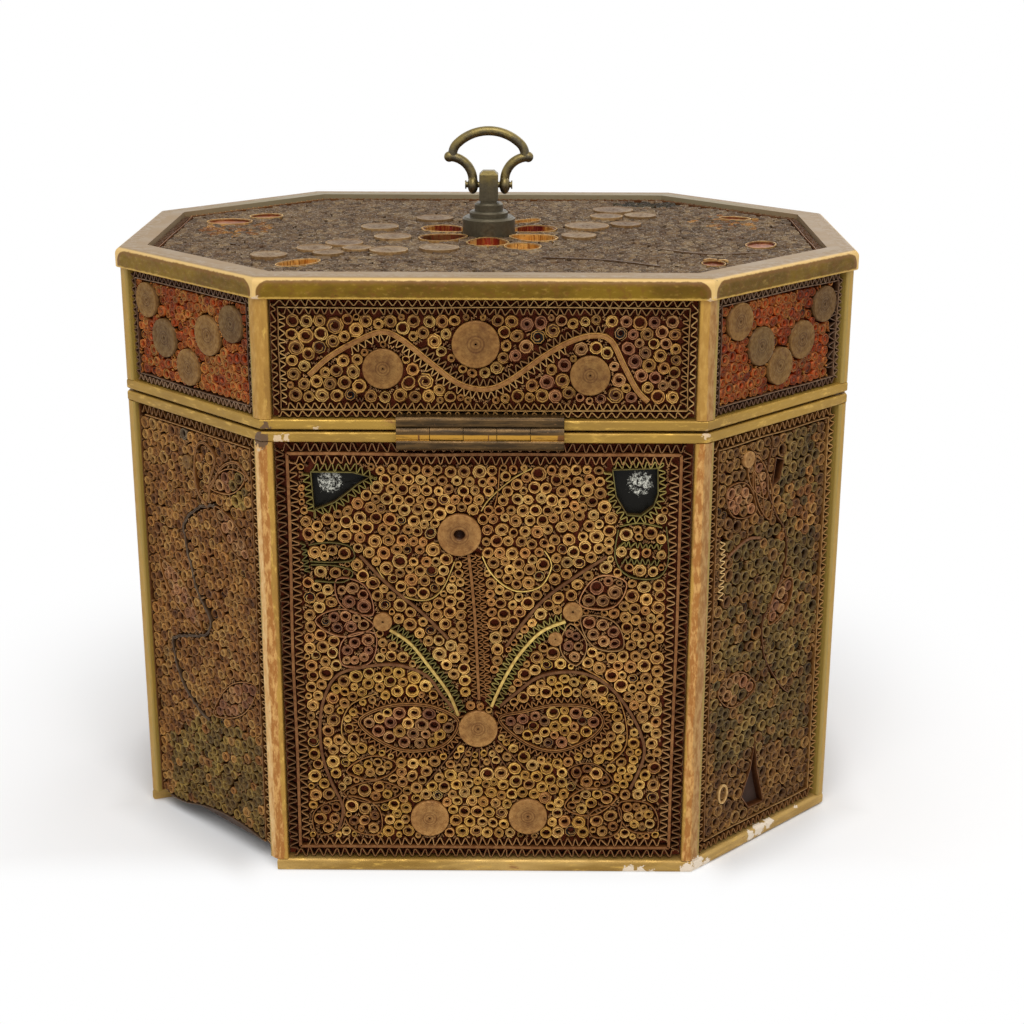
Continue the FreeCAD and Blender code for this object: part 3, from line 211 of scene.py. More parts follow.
def faceNormal(tree):
    return splitUp(tree, addNode(tree, "ShaderNodeNewGeometry").outputs["Normal"])


# Paper

paper = {
    "roughness": 0.52, "metallic": 0.12,
    "wallDark": 0.29, "wallPale": 0.76,    # painted shade on the strips' sides, darkest at the ground and paler up to the gilt edge
    "warmth": (1.0, 1.30, 1.60),           # paper in painted shade turns redder
    "grime": paint(70, 32, 10),
}


def paperMaterial():
    material, tree, shader = startMaterial("quilledPaper", paper["roughness"], paper["metallic"])
    shader.inputs["Specular IOR Level"].default_value = 0.22
    tint = addNode(tree, "ShaderNodeAttribute", attribute_name="tint").outputs["Color"]
    rim = addNode(tree, "ShaderNodeAttribute", attribute_name="rim").outputs["Fac"]
    deep = addNode(tree, "ShaderNodeAttribute", attribute_name="deep").outputs["Fac"]
    where = placeOn(tree)
    worn = cloud(tree, where, 0.9, 4)
    patch = cloud(tree, where, 14, 2)
    # painted shade: the strips' sides darken towards the ground, and faces given a low rim value are darker still
    wall = ease(tree, deep, 0.45, 1.02, paper["wallDark"], paper["wallPale"])
    light = sums(tree, "MULTIPLY_ADD", rim, sums(tree, "SUBTRACT", 1.0, wall), wall)
    light = sums(tree, "MULTIPLY", light, ease(tree, worn, 0.25, 0.75, 0.74, 1.2))
    light = sums(tree, "MULTIPLY", light, ease(tree, patch, 0.3, 0.7, 0.86, 1.1))
    warm = [sums(tree, "POWER", light, power) for power in paper["warmth"]]
    grey = addNode(tree, "ShaderNodeCombineColor", dict(zip(("Red", "Green", "Blue"), warm))).outputs[0]
    colour = mixed(tree, 1.0, tint, grey, "MULTIPLY")
    dirt = ease(tree, cloud(tree, where, 2.6, 5, 0.7), 0.52, 0.72, 0.0, 0.5)
    colour = mixed(tree, dirt, colour, paper["grime"])
    tree.links.new(colour, shader.inputs["Base Color"])
    tree.links.new(ease(tree, worn, 0.3, 0.7, 0.62, 0.40), shader.inputs["Roughness"])
    raised(tree, shader, worn, 0.06)
    return material


def groundMaterial():
    material, tree, shader = startMaterial("paperGround", 0.9)
    where = placeOn(tree)
    colour = mixed(tree, cloud(tree, where, 3, 4), paint(90, 30, 6), paint(128, 52, 13))
    tree.links.new(colour, shader.inputs["Base Color"])
    raised(tree, shader, cloud(tree, where, 0.7, 3), 0.1)
    return material


# Gilding

gilding = {
    "olive": paint(98, 73, 17), "leaf": paint(168, 132, 56), "bright": paint(214, 172, 82),
    "bole": paint(122, 68, 34), "cream": paint(220, 184, 124), "peach": paint(202, 152, 86),
    "gesso": paint(222, 206, 184), "crackAndEdgeShade": paint(52, 30, 14), "russet": paint(158, 100, 40),
    "taupe": paint(136, 114, 82), "pinkTaupe": paint(150, 123, 89), "paleGold": paint(212, 175, 108),
    "soiled": paint(98, 72, 46), "umber": paint(112, 70, 24),
    "wornDark": paint(127, 83, 35), "wornPale": paint(154, 114, 62), "rightWear": 0.85,
    "lidBareDark": paint(150, 110, 42), "lidBarePale": paint(188, 146, 66), "arrisDepth": 0.5, "cornerBend": 3.2,
    "wide": cadBox[1].x / mm - 0.8, "deep": 62.4, "cant": 35.8,   # the octagon's half sizes and its cut corners
    # where a bead's colours meet, on the left and on the right
    "toBole": (-1.4, -1.9), "toCream": (0.5, -0.45), "toOlive": (1.9, 1.5),
    "soiledChips": ((-48.1, -62.6, 103.9, 1.9), (-46.6, -62.8, 106.9, 1.1)),
    "gessoChips": (   # where the gesso shows: x, y, z and size
        (33.4, -62.9, 0.2, 1.7), (36.4, -62.9, 0.0, 1.4), (39.0, -62.9, 0.4, 0.9), (47.4, -62.4, 1.0, 1.9),
        (49.8, -61.2, 1.8, 1.9), (52.4, -58.8, 0.6, 1.3),
        (63.8, -47.2, 1.6, 1.3), (66.2, -44.8, 2.4, 1.9), (68.8, -42.2, 2.8, 1.6), (76.6, -34.4, 3.4, 0.9),
        (48.0, -62.8, 105.6, 0.9), (48.0, -62.8, 134.9, 0.6), (-48.0, -62.8, 134.9, 0.6),
        (-44.4, -62.9, 104.2, 1.1), (-42.6, -62.9, 104.6, 0.8), (-36.0, -62.9, 106.4, 0.6), (-48.6, -62.2, 101.6, 0.6),
        (83.4, 20.0, 1.0, 2.6), (-20.0, 62.3, 0.8, 2.4), (-60.0, 50.2, 1.0, 2.0),
    ),
}


def cornerPlace(tree, where):
    # how far round a corner of the octagon a point lies, in mm:
    # below 0 on a long or end side, above 0 on a cut corner
    x, y = (sums(tree, "ABSOLUTE", part) for part in splitUp(tree, where)[:2])
    wide, deep, cant = gilding["wide"], gilding["deep"], gilding["cant"]
    lean = math.radians(22.5)
    places = []
    for cornerX, cornerY, runX, runY in (
        (wide - cant, deep, math.cos(lean), -math.sin(lean)), (wide, deep - cant, -math.sin(lean), math.cos(lean)),
    ):
        along = sums(tree, "MULTIPLY", sums(tree, "SUBTRACT", x, cornerX), runX)
        places.append(sums(tree, "MULTIPLY_ADD", sums(tree, "SUBTRACT", y, cornerY), runY, along))
    half = ((deep - (wide - cant)) + (deep - cant - wide)) / 2
    first = sums(tree, "GREATER_THAN", sums(tree, "SUBTRACT", y, x), half)
    difference = sums(tree, "SUBTRACT", places[0], places[1])
    return sums(tree, "MULTIPLY_ADD", difference, first, places[1])


def between(tree, share, first, second):
    return sums(tree, "MULTIPLY_ADD", share, second - first, first)


def gildedMaterial(name, ground, shine, wearFrom, arris="", streak=(1, 1, 1)):
    material, tree, shader = startMaterial(name, 0.45, 0.35)
    shader.inputs["Specular IOR Level"].default_value = 0.3
    where = placeOn(tree)
    drawn = placeOn(tree, streak)
    broad = cloud(tree, drawn, 7, 4, 0.6)
    fine = cloud(tree, drawn, 0.9, 5, 0.65)
    blotch = cloud(tree, where, 1.8, 6, 0.72)
    speck = cloud(tree, where, 0.35, 2)
    colour = mixed(tree, ease(tree, broad, 0.35, 0.65), ground, shine)
    colour = mixed(tree, ease(tree, fine, 0.54, 0.72, 0, 0.22 if arris == "top" else 0.75), colour, gilding["bright"])
    worn = ease(tree, sums(tree, "ADD", broad, sums(tree, "MULTIPLY", fine, 0.5)), wearFrom, wearFrom + 0.10)
    colour = mixed(tree, worn, colour, gilding["bole"])
    metal = sums(tree, "SUBTRACT", 0.5, sums(tree, "MULTIPLY", worn, 0.4))
    normal = faceNormal(tree)
    if arris == "corner":
        # flecked gold beside a long side, bare bole on the corner, rubbed cream and olive towards the cut corner
        across = cornerPlace(tree, where)
        x, _, z = splitUp(tree, where)
        right = ease(tree, x, -10, 10)
        outer = ease(tree, sums(tree, "ABSOLUTE", x), 60, 66)    # beside the end sides the gold is whole
        lid = ease(tree, z, 104, 110)
        ragged = sums(tree, "MULTIPLY_ADD", sums(tree, "SUBTRACT", blotch, 0.5), 0.9, across)
        brushed = cloud(tree, placeOn(tree, (1, 1, 9)), 1.5, 5, 0.65)
        ragged = sums(tree, "MULTIPLY_ADD", sums(tree, "SUBTRACT", brushed, 0.5), 2.4, ragged)
        edges = [between(tree, right, *gilding[k]) for k in ("toBole", "toCream", "toOlive")]
        steps = [sums(tree, "SUBTRACT", ragged, edge) for edge in edges]
        bare = mixed(tree, ease(tree, fine, 0.44, 0.62), gilding["russet"], gilding["peach"])
        lidBare = mixed(tree, fine, gilding["lidBareDark"], gilding["lidBarePale"])
        bare = mixed(tree, sums(tree, "MULTIPLY", lid, 0.8), bare, lidBare)
        cream = mixed(tree, ease(tree, fine, 0.3, 0.7), gilding["peach"], gilding["cream"])
        cream = mixed(tree, sums(tree, "MULTIPLY", lid, sums(tree, "SUBTRACT", 1.0, right)), cream, bare)
        worn = mixed(tree, ease(tree, fine, 0.4, 0.6), gilding["wornDark"], gilding["wornPale"])
        cream = mixed(tree, sums(tree, "MULTIPLY", right, gilding["rightWear"]), cream, worn)
        cream = mixed(tree, outer, cream, gilding["leaf"])
        bare = mixed(tree, sums(tree, "MULTIPLY", outer, 0.6), bare, gilding["leaf"])
        colour = mixed(tree, ease(tree, steps[0], -0.15, 0.15, 0, 0.92), colour, bare)
        colour = mixed(tree, ease(tree, steps[1], -0.2, 0.2, 0, 0.92), colour, cream)
        colour = mixed(tree, ease(tree, steps[2], -0.2, 0.2, 0, 0.9), colour, paint(150, 124, 58))
        # painted shade: a dark line along both edges of the bead, where it meets the panels
        colour = mixed(tree, ease(tree, sums(tree, "ABSOLUTE", across), 2.15, 2.5, 0, 0.6), colour, gilding["crackAndEdgeShade"])
        metal = sums(tree, "MULTIPLY", metal, ease(tree, steps[0], -0.3, 0.3, 1.0, 0.2))
    if arris == "top":
        # a greyed flat top, a painted highlight along the arris that runs down the corners, a russet line and olive
        # gold below
        flat = mixed(tree, cloud(tree, where, 9, 4), gilding["taupe"], gilding["pinkTaupe"])
        low, high = (corner.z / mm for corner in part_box("lid_edge_mouldings"))
        level = sums(tree, "MULTIPLY_ADD", sums(tree, "SUBTRACT", blotch, 0.5), 0.7, splitUp(tree, where)[2])
        bend = gilding["cornerBend"]
        fromCorner = sums(tree, "ABSOLUTE", cornerPlace(tree, where))
        inX = sums(tree, "MAXIMUM", sums(tree, "SUBTRACT", bend, fromCorner), 0.0)
        inZ = sums(tree, "MAXIMUM", sums(tree, "SUBTRACT", bend, sums(tree, "SUBTRACT", high, level)), 0.0)
        reach = sums(tree, "SQRT", sums(tree, "MULTIPLY_ADD", inX, inX, sums(tree, "MULTIPLY", inZ, inZ)))
        inside = sums(tree, "SUBTRACT", bend, reach)
        colour = mixed(tree, ease(tree, blotch, 0.48, 0.66, 0, 0.55), colour, gilding["umber"])
        colour = mixed(tree, ease(tree, inside, 0.9, 1.8, 0.6, 0), colour, gilding["umber"])
        # painted highlight along the arris and down the corners
        arrisHighlight = ease(tree, inside, gilding["arrisDepth"], gilding["arrisDepth"] + 0.3, 1.0, 0)
        colour = mixed(tree, arrisHighlight, colour, gilding["paleGold"])
        colour = mixed(tree, ease(tree, level, low + 0.25, low + 0.7, 0.8, 0.0), colour, gilding["bright"])
        colour = mixed(tree, ease(tree, normal[2], 0.80, 0.97), colour, flat)
        metal = sums(tree, "MULTIPLY", metal, ease(tree, inside, 1.0, 2.0, 0.15, 1.0))
    nick = ease(tree, cloud(tree, where, 1.6, 6, 0.75), 0.64, 0.71, 0, 0.75)
    colour = mixed(tree, nick, colour, gilding["crackAndEdgeShade"])
    for kind in ("soiled", "gesso"):
        chipped = None
        for x, y, z, size in gilding[kind + "Chips"]:
            away = awayFrom(tree, where, (x, y, z))
            rough = cloud(tree, where, 1.1, 5, 0.65)
            ragged = sums(tree, "MULTIPLY_ADD", rough, 4.4, sums(tree, "SUBTRACT", away, 2.2))
            here = ease(tree, ragged, size - 0.1, size + 0.1, 1.0, 0.0)
            chipped = here if chipped is None else sums(tree, "MAXIMUM", chipped, here)
        bared = gilding[kind]
        if kind == "gesso":
            bared = mixed(tree, ease(tree, splitUp(tree, where)[2], 60, 90), bared, paint(204, 176, 138))
        colour = mixed(tree, chipped, colour, bared)
        metal = sums(tree, "MULTIPLY", metal, sums(tree, "SUBTRACT", 1.0, chipped))
    tree.links.new(colour, shader.inputs["Base Color"])
    tree.links.new(metal, shader.inputs["Metallic"])
    tree.links.new(ease(tree, fine, 0.3, 0.7, 0.58, 0.34), shader.inputs["Roughness"])
    height = sums(tree, "MULTIPLY_ADD", blotch, 0.5, sums(tree, "MULTIPLY", fine, 0.4))
    raised(tree, shader, sums(tree, "MULTIPLY_ADD", speck, 0.15, height), 0.16)
    return material


def borderMaterial():
    # the lid's flat border: greyed, rubbed gilding, more olive along the lock side
    material, tree, shader = startMaterial("rubbedBorder", 0.5, 0.05)
    where = placeOn(tree)
    broad, fine = cloud(tree, where, 9, 4), cloud(tree, where, 0.9, 4)
    olive = mixed(tree, broad, paint(126, 112, 80), paint(140, 126, 96))
    pink = mixed(tree, broad, gilding["taupe"], gilding["pinkTaupe"])
    colour = mixed(tree, ease(tree, splitUp(tree, where)[1], 20, 45, 1.0, 0.0), olive, pink)
    colour = mixed(tree, ease(tree, fine, 0.55, 0.8, 0, 0.4), colour, paint(124, 102, 74))
    colour = mixed(tree, ease(tree, cloud(tree, where, 3.5, 6, 0.7), 0.62, 0.70, 0, 0.6), colour, paint(140, 108, 56))
    colour = mixed(tree, ease(tree, cloud(tree, where, 1.9, 6, 0.8), 0.68, 0.74, 0, 0.7), colour, paint(84, 62, 40))
    tree.links.new(colour, shader.inputs["Base Color"])
    tree.links.new(ease(tree, broad, 0.3, 0.7, 0.42, 0.62), shader.inputs["Roughness"])
    raised(tree, shader, fine, 0.08)
    return material


# Metals, glass and wood

def bronzeMaterial():
    material, tree, shader = startMaterial("handleBronze", 0.38, 0.75)
    where = placeOn(tree)
    broad, fine = cloud(tree, where, 3.2, 4), cloud(tree, where, 0.5, 4)
    up = faceNormal(tree)[2]
    dark = mixed(tree, fine, paint(71, 65, 50), paint(99, 90, 71))
    rubbedAndHighlit = mixed(tree, fine, paint(106, 92, 50), paint(140, 122, 72))
    level = splitUp(tree, where)[2]
    high = ease(tree, level, 147.0, 153.0)   # rubbed bright on the bail, dull on the post; faces that look up also get a painted highlight
    # painted highlight: faces that look up lean towards the pale bronze
    share = sums(tree, "MULTIPLY", ease(tree, sums(tree, "MULTIPLY_ADD", up, 0.25, broad), 0.35, 0.65), high)
    tree.links.new(mixed(tree, share, dark, rubbedAndHighlit), shader.inputs["Base Color"])
    tree.links.new(ease(tree, fine, 0.3, 0.7, 0.30, 0.50), shader.inputs["Roughness"])
    raised(tree, shader, fine, 0.05)
    return material


def hingeMaterial():
    material, tree, shader = startMaterial("hingeBrass", 0.4, 0.7)
    where = placeOn(tree)
    drawn = placeOn(tree, (9, 1, 1))
    streaks, fine = cloud(tree, drawn, 0.8, 4), cloud(tree, where, 0.5, 4)
    level = splitUp(tree, where)[2]
    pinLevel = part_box("hinge_pin")[0].z / mm + (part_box("hinge_pin")[1].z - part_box("hinge_pin")[0].z) / mm / 2
    colour = mixed(tree, ease(tree, streaks, 0.35, 0.65), paint(54, 39, 18), paint(92, 68, 35))
    colour = mixed(tree, ease(tree, fine, 0.6, 0.75, 0, 0.5), colour, paint(140, 102, 64))
    cuts = sums(tree, "ABSOLUTE", sums(tree, "SUBTRACT", cloud(tree, placeOn(tree, (1, 40, 40)), 6.5, 1), 0.5))
    # painted reflection: a bright brass band along the lower half of the barrel, with the knuckles' dark joint lines
    # across it
    below = sums(tree, "SUBTRACT", pinLevel - 0.75, level)
    band = ease(tree, sums(tree, "ABSOLUTE", below), 0.55, 0.85, 1.0, 0.0)
    colour = mixed(tree, sums(tree, "MULTIPLY", band, ease(tree, streaks, 0.2, 0.5)), colour, paint(190, 140, 50))
    cutLines = sums(tree, "MULTIPLY", band, ease(tree, cuts, 0.004, 0.012, 0.8, 0))
    colour = mixed(tree, cutLines, colour, paint(92, 44, 26))
    tree.links.new(colour, shader.inputs["Base Color"])
    tree.links.new(ease(tree, fine, 0.3, 0.7, 0.32, 0.5), shader.inputs["Roughness"])
    raised(tree, shader, streaks, 0.05)
    return material


def metalMaterial(name, dark, pale, roughness, metallic=0.9, streak=(1, 1, 1)):
    material, tree, shader = startMaterial(name, roughness, metallic)
    where = placeOn(tree, streak)
    broad, fine = cloud(tree, where, 3, 4), cloud(tree, where, 0.35, 4)
    colour = mixed(tree, broad, dark, pale)
    colour = mixed(tree, ease(tree, cloud(tree, where, 1.2, 6, 0.75), 0.6, 0.75, 0, 0.6), colour, dark)
    tree.links.new(colour, shader.inputs["Base Color"])
    tree.links.new(ease(tree, broad, 0.3, 0.7, roughness - 0.08, roughness + 0.12), shader.inputs["Roughness"])
    raised(tree, shader, fine, 0.04)
    return material


def micaMaterial():
    # nearly black, with silvery flecks about the middle of each piece
    material, tree, shader = startMaterial("foiledMica", 0.3, 0.0)
    shader.inputs["Specular IOR Level"].default_value = 0.12
    where = placeOn(tree)
    flake = cloud(tree, where, 0.7, 9, 0.85)
    near = None
    for x, z in ((-33.6, 94.0), (34.0, 94.0)):
        away = awayFrom(tree, where, (x, -60, z))
        here = ease(tree, away, 2.0, 4.2, 0.2, 0.0)
        near = here if near is None else sums(tree, "MAXIMUM", near, here)
    share = ease(tree, sums(tree, "ADD", near, flake), 0.68, 0.76)
    colour = mixed(tree, share, paint(16, 14, 9), paint(206, 204, 190))
    tree.links.new(colour, shader.inputs["Base Color"])
    tree.links.new(ease(tree, share, 0, 1, 0.25, 0.5), shader.inputs["Roughness"])
    raised(tree, shader, flake, 0.1)
    return material


def woodMaterial(name, pale, dark, roughness, grain=(14, 1, 1), size=2.2, foot=False):
    material, tree, shader = startMaterial(name, roughness)
    drawn = placeOn(tree, grain)
    rings = cloud(tree, drawn, size, 5, 0.6, 0.6)
    pores = cloud(tree, placeOn(tree, tuple(g * 2 for g in grain)), size / 6, 3)
    colour = mixed(tree, ease(tree, rings, 0.35, 0.65), pale, dark)
    colour = mixed(tree, ease(tree, pores, 0.58, 0.72, 0, 0.45), colour, dark)
    # painted shadow: the pine turns nearly black towards its bottom, below the worn lower edge and round the base
    if foot:
        colour = mixed(tree, ease(tree, splitUp(tree, placeOn(tree))[2], 6, 12, 0.9, 0.0), colour, paint(44, 26, 14))
    tree.links.new(colour, shader.inputs["Base Color"])
    tree.links.new(ease(tree, rings, 0.3, 0.7, roughness - 0.08, roughness + 0.1), shader.inputs["Roughness"])
    raised(tree, shader, pores, 0.08)
    return material


foil = {"foldWidth": 2.4, "streakWidth": 0.45, "streakLength": 9, "streakEdge": (0.48, 0.60)}


def foilMaterial(name, dark, pale, roughness, streak=None):
    # crumpled leaf or sheet metal, rubbed in upright streaks where it lines the cells
    material, tree, shader = startMaterial(name, roughness, 0.6)
    where = placeOn(tree)
    cells = {"Vector": where, "Scale": 1 / foil["foldWidth"]}
    fold = addNode(tree, "ShaderNodeTexVoronoi", cells, feature="F1").outputs["Distance"]
    broad = cloud(tree, where, 5, 5, 0.65)
    colour = mixed(tree, ease(tree, broad, 0.35, 0.65), dark, pale)
    if streak:
        upright = cloud(tree, placeOn(tree, (1, 1, foil["streakLength"])), foil["streakWidth"], 4, 0.7)
        colour = mixed(tree, ease(tree, upright, *foil["streakEdge"], 0, 0.85), colour, streak)
    tree.links.new(colour, shader.inputs["Base Color"])
    raised(tree, shader, sums(tree, "ADD", fold, broad), 0.25)
    return material


materials = {
    "paper": paperMaterial(),
    "ground": groundMaterial(),
    "giltBead": gildedMaterial("giltBeads", paint(152, 111, 50), paint(184, 141, 64), 0.97, "corner", (1, 1, 3)),
    "giltEdge": gildedMaterial("giltLidEdge", paint(96, 70, 5), paint(124, 95, 15), 0.98, "top", (2, 2, 1)),
    "giltStrip": gildedMaterial("giltStrips", paint(150, 116, 52), gilding["leaf"], 0.98, "", (4, 4, 1)),
    "giltBase": gildedMaterial("giltBase", paint(147, 113, 50), paint(186, 151, 86), 0.90, "", (5, 5, 1)),
    "border": borderMaterial(),
    "bronze": bronzeMaterial(),
    "hinge": hingeMaterial(),
    "lockBrass": metalMaterial("lockBrass", paint(120, 92, 46), paint(176, 140, 72), 0.36),
    "iron": metalMaterial("filedIron", paint(52, 46, 42), paint(92, 86, 80), 0.5),
    "mica": micaMaterial(),
    "pine": woodMaterial("waxedPine", paint(176, 130, 84), paint(136, 92, 54), 0.55, foot=True),
    "coverWood": woodMaterial("coverWood", paint(142, 88, 50), paint(96, 54, 30), 0.42, (16, 1, 1), 1.6),
    "boxwood": woodMaterial("turnedBoxwood", paint(196, 152, 92), paint(164, 118, 66), 0.35, (1, 1, 8), 1.2),
    "tin": foilMaterial("tinLining", paint(122, 120, 112), paint(168, 166, 156), 0.42),
    # a dark sheet on the floor of the holes where quills are missing
    "holeFloor": metalMaterial("bareGround", paint(34, 18, 8), paint(62, 34, 14), 0.85, 0.0),
    "goldFoil": foilMaterial("goldFoil", paint(184, 132, 60), paint(226, 184, 108), 0.36, paint(132, 82, 32)),
    "redFoil": foilMaterial("redFoil", paint(92, 18, 14), paint(138, 42, 28), 0.36, paint(150, 92, 44)),
    "rustFoil": foilMaterial("rustFoil", paint(120, 62, 28), paint(166, 100, 52), 0.4),
    "brownFoil": foilMaterial("brownFoil", paint(84, 50, 26), paint(138, 90, 48), 0.4, paint(118, 46, 24)),
}
nodeMaterials = {
    "pine": ("base_board", "body_back_wall", "body_front_wall", "body_side_walls", "body_corner_walls",
             "cover_ledge", "lid_back_wall", "lid_front_wall", "lid_side_walls", "lid_corner_walls", "lid_top_board"),
    "giltBead": ("body_corner_beads", "lid_corner_beads"),
    "giltEdge": ("lid_edge_mouldings",),
    "giltStrip": ("body_rim_strips", "lid_rim_strips"),
    "giltBase": ("base_mouldings",),
    "border": ("lid_top_border",),
    "bronze": ("handle_rose", "handle_post", "bail_pin", "bail_handle"),
    "hinge": ("hinge_body_leaf", "hinge_lid_leaf", "hinge_pin"),
    "lockBrass": ("lock_plate", "link_plate", "keyhole_escutcheon"),
    "iron": ("lock_case", "lock_bolt", "lock_screws", "link_plate_screws", "hinge_body_screws",
             "hinge_lid_screws", "handle_washer", "handle_nut"),
    "mica": ("mica_inserts",),
    "tin": ("tea_lining", "lid_lining"),
    "coverWood": ("inner_cover",),
    "boxwood": ("inner_cover_knob",),
}
for kind, names in nodeMaterials.items():
    for name in names:
        node = frame["nodes"][name]
        for place in range(max(1, len(node.material_slots))):
            if place < len(node.material_slots):
                node.material_slots[place].material = materials[kind]
            else:
                node.data.materials.append(materials[kind])
print("materials ready:", len(materials))


# Modelling helpers

def selectOnly(piece):
    bpy.ops.object.select_all(action="DESELECT")
    piece.select_set(True)
    bpy.context.view_layer.objects.active = piece


def inEditMode(piece, work):
    selectOnly(piece)
    bpy.ops.object.mode_set(mode="EDIT")
    bpy.ops.mesh.select_all(action="SELECT")
    work()
    bpy.ops.object.mode_set(mode="OBJECT")


def applyModifier(piece, kind, **settings):
    selectOnly(piece)
    modifier = piece.modifiers.new(kind.title(), kind)
    for key, value in settings.items():
        setattr(modifier, key, value)
    bpy.ops.object.modifier_apply(modifier=modifier.name)


def linkMesh(name, mesh):
    piece = bpy.data.objects.new(name, mesh)
    bpy.context.scene.collection.objects.link(piece)
    return piece


def readShape(piece, shadeFrom=1.0, shadeTo=1.0, sunk=1.0):
    # a modelled shape as plain arrays, ready to be copied many times, with painted shade: darker towards its middle,
    # paler towards its outside
    mesh = piece.data
    points = np.empty(len(mesh.vertices) * 3)
    mesh.vertices.foreach_get("co", points)
    points = points.reshape(-1, 3)
    corners = np.empty(len(mesh.loops), int)
    mesh.loops.foreach_get("vertex_index", corners)
    starts = np.empty(len(mesh.polygons), int)
    mesh.polygons.foreach_get("loop_start", starts)
    normals, middles = np.empty(len(mesh.polygons) * 3), np.empty(len(mesh.polygons) * 3)
    mesh.polygons.foreach_get("normal", normals)
    mesh.polygons.foreach_get("center", middles)
    # painted shade: top faces that sit below the highest level take the sunk value
    proud = middles.reshape(-1, 3)[:, 2] > points[:, 2].max() - 0.03
    rims = (normals.reshape(-1, 3)[:, 2] > 0.7) * np.where(proud, 1.0, sunk)
    shade = shadeFrom + (shadeTo - shadeFrom) * np.clip((np.hypot(points[:, 0], points[:, 1]) - 0.5) / 0.42, 0, 1)
    shape = {"points": points, "corners": corners, "starts": starts, "rims": rims, "shade": shade}
    bpy.data.objects.remove(piece)
    return shape


def meshOf(name, points, corners, starts, rims, tints, tall):
    mesh = bpy.data.meshes.new(name)
    mesh.vertices.add(len(points))
    mesh.vertices.foreach_set("co", points.astype(np.float32).ravel())
    mesh.loops.add(len(corners))
    mesh.loops.foreach_set("vertex_index", corners.astype(np.int32))
    mesh.polygons.add(len(starts))
    mesh.polygons.foreach_set("loop_start", starts.astype(np.int32))
    mesh.update(calc_edges=True)
    mesh.validate()
    writeShades(mesh, rims, tints, points[:, 2] / tall)
    return mesh


def writeShades(mesh, rims, tints, deep):
    for old in ("rim", "tint", "deep"):
        if old in mesh.attributes:
            mesh.attributes.remove(mesh.attributes[old])
    mesh.attributes.new("rim", "FLOAT", "FACE").data.foreach_set("value", rims.astype(np.float32))
    colours = np.ones((len(tints), 4), np.float32)
    colours[:, :3] = tints
    mesh.attributes.new("tint", "FLOAT_COLOR", "POINT").data.foreach_set("color", colours.ravel())
    mesh.attributes.new("deep", "FLOAT", "POINT").data.foreach_set("value", deep.astype(np.float32))


def standStrips(name, strips, thickness, tall, level):
    # paper strips on edge: each path is drawn flat, drawn up to its height and given its thickness
    points, edges, tints = [], [], []
    for path, foot, tint in strips:
        first = len(points)
        points += [(x, y, foot) for x, y in path]
        edges += [(first + k, first + k + 1) for k in range(len(path) - 1)]
        tints += [tint] * len(path)
    mesh = bpy.data.meshes.new(name)
    mesh.from_pydata(points, edges, [])
    colours = np.ones((len(points), 4), np.float32)
    colours[:, :3] = tints
    mesh.attributes.new("tint", "FLOAT_COLOR", "POINT").data.foreach_set("color", colours.ravel())
    piece = linkMesh(name, mesh)

    def drawUp():
        bpy.ops.mesh.extrude_region_move(TRANSFORM_OT_translate={"value": (0, 0, tall)})

    inEditMode(piece, drawUp)
    applyModifier(piece, "SOLIDIFY", thickness=thickness, offset=0.0)
    inEditMode(piece, lambda: bpy.ops.mesh.normals_make_consistent(inside=False))
    mesh = piece.data
    colours = np.empty(len(mesh.vertices) * 4, np.float32)
    mesh.attributes["tint"].data.foreach_get("color", colours)
    normals = np.empty(len(mesh.polygons) * 3)
    mesh.polygons.foreach_get("normal", normals)
    places = np.empty(len(mesh.vertices) * 3)
    mesh.vertices.foreach_get("co", places)
    rims = (normals.reshape(-1, 3)[:, 2] > 0.7).astype(float)
    writeShades(mesh, rims, colours.reshape(-1, 4)[:, :3], places.reshape(-1, 3)[:, 2] / level)
    return piece


# Coil and rosette shapes, rolled once and copied

coilKinds = {   # turns, share of the radius left open, thickness share, shift of the inner turns, steps a turn
    "tight": (1.9, 0.32, 0.115, 0.08, 7.5),
    "plain": (1.8, 0.42, 0.110, 0.10, 8.0),
    "loose": (1.6, 0.52, 0.105, 0.14, 8.6),
    "ring": (1.3, 0.65, 0.120, 0.08, 9.5),
}
fineKinds = {
    "tight": (1.3, 0.34, 0.17, 0.06, 7.4),
    "loose": (1.15, 0.50, 0.15, 0.12, 8.0),
}
innerTurns = {"sides": 8, "level": 0.945, "shade": -0.85}   # the tight turns inside, as one ring darkened with painted shade
rosetteKinds = {   # rings, sides, share of the radius open in the middle
    "large": (7, 32, 0.055),
    "small": (4, 20, 0.14),
    "open": (6, 30, 0.27),
}


def rollCoil(name, turns, opening, strip, shift, steps, way):
    count = int(turns * steps)
    path = []
    for k in range(count + 1):
        share = k / count
        angle = way * share * turns * 2 * math.pi
        reach = opening + (1 - strip / 2 - opening) * share ** 0.7
        path.append((reach * math.cos(angle) - shift * (1 - share), reach * math.sin(angle)))
    outer = standStrips(name, [(path, 0.0, (1, 1, 1))], strip, 1.0, 1.0)
    bpy.ops.object.select_all(action="DESELECT")
    wide = 0.93 - opening
    bpy.ops.mesh.primitive_circle_add(vertices=innerTurns["sides"], radius=opening + wide / 2)
    inner = bpy.context.active_object

    def stand():
        bpy.ops.transform.translate(value=(-shift / 2, 0, 0))
        bpy.ops.mesh.extrude_region_move(TRANSFORM_OT_translate={"value": (0, 0, innerTurns["level"])})

    inEditMode(inner, stand)
    applyModifier(inner, "SOLIDIFY", thickness=wide, offset=0.0)
    inEditMode(inner, lambda: bpy.ops.mesh.normals_make_consistent(inside=False))
    outer.select_set(True)
    bpy.context.view_layer.objects.active = outer
    bpy.ops.object.join()
    return readShape(outer, 0.84, 1.10, innerTurns["shade"])


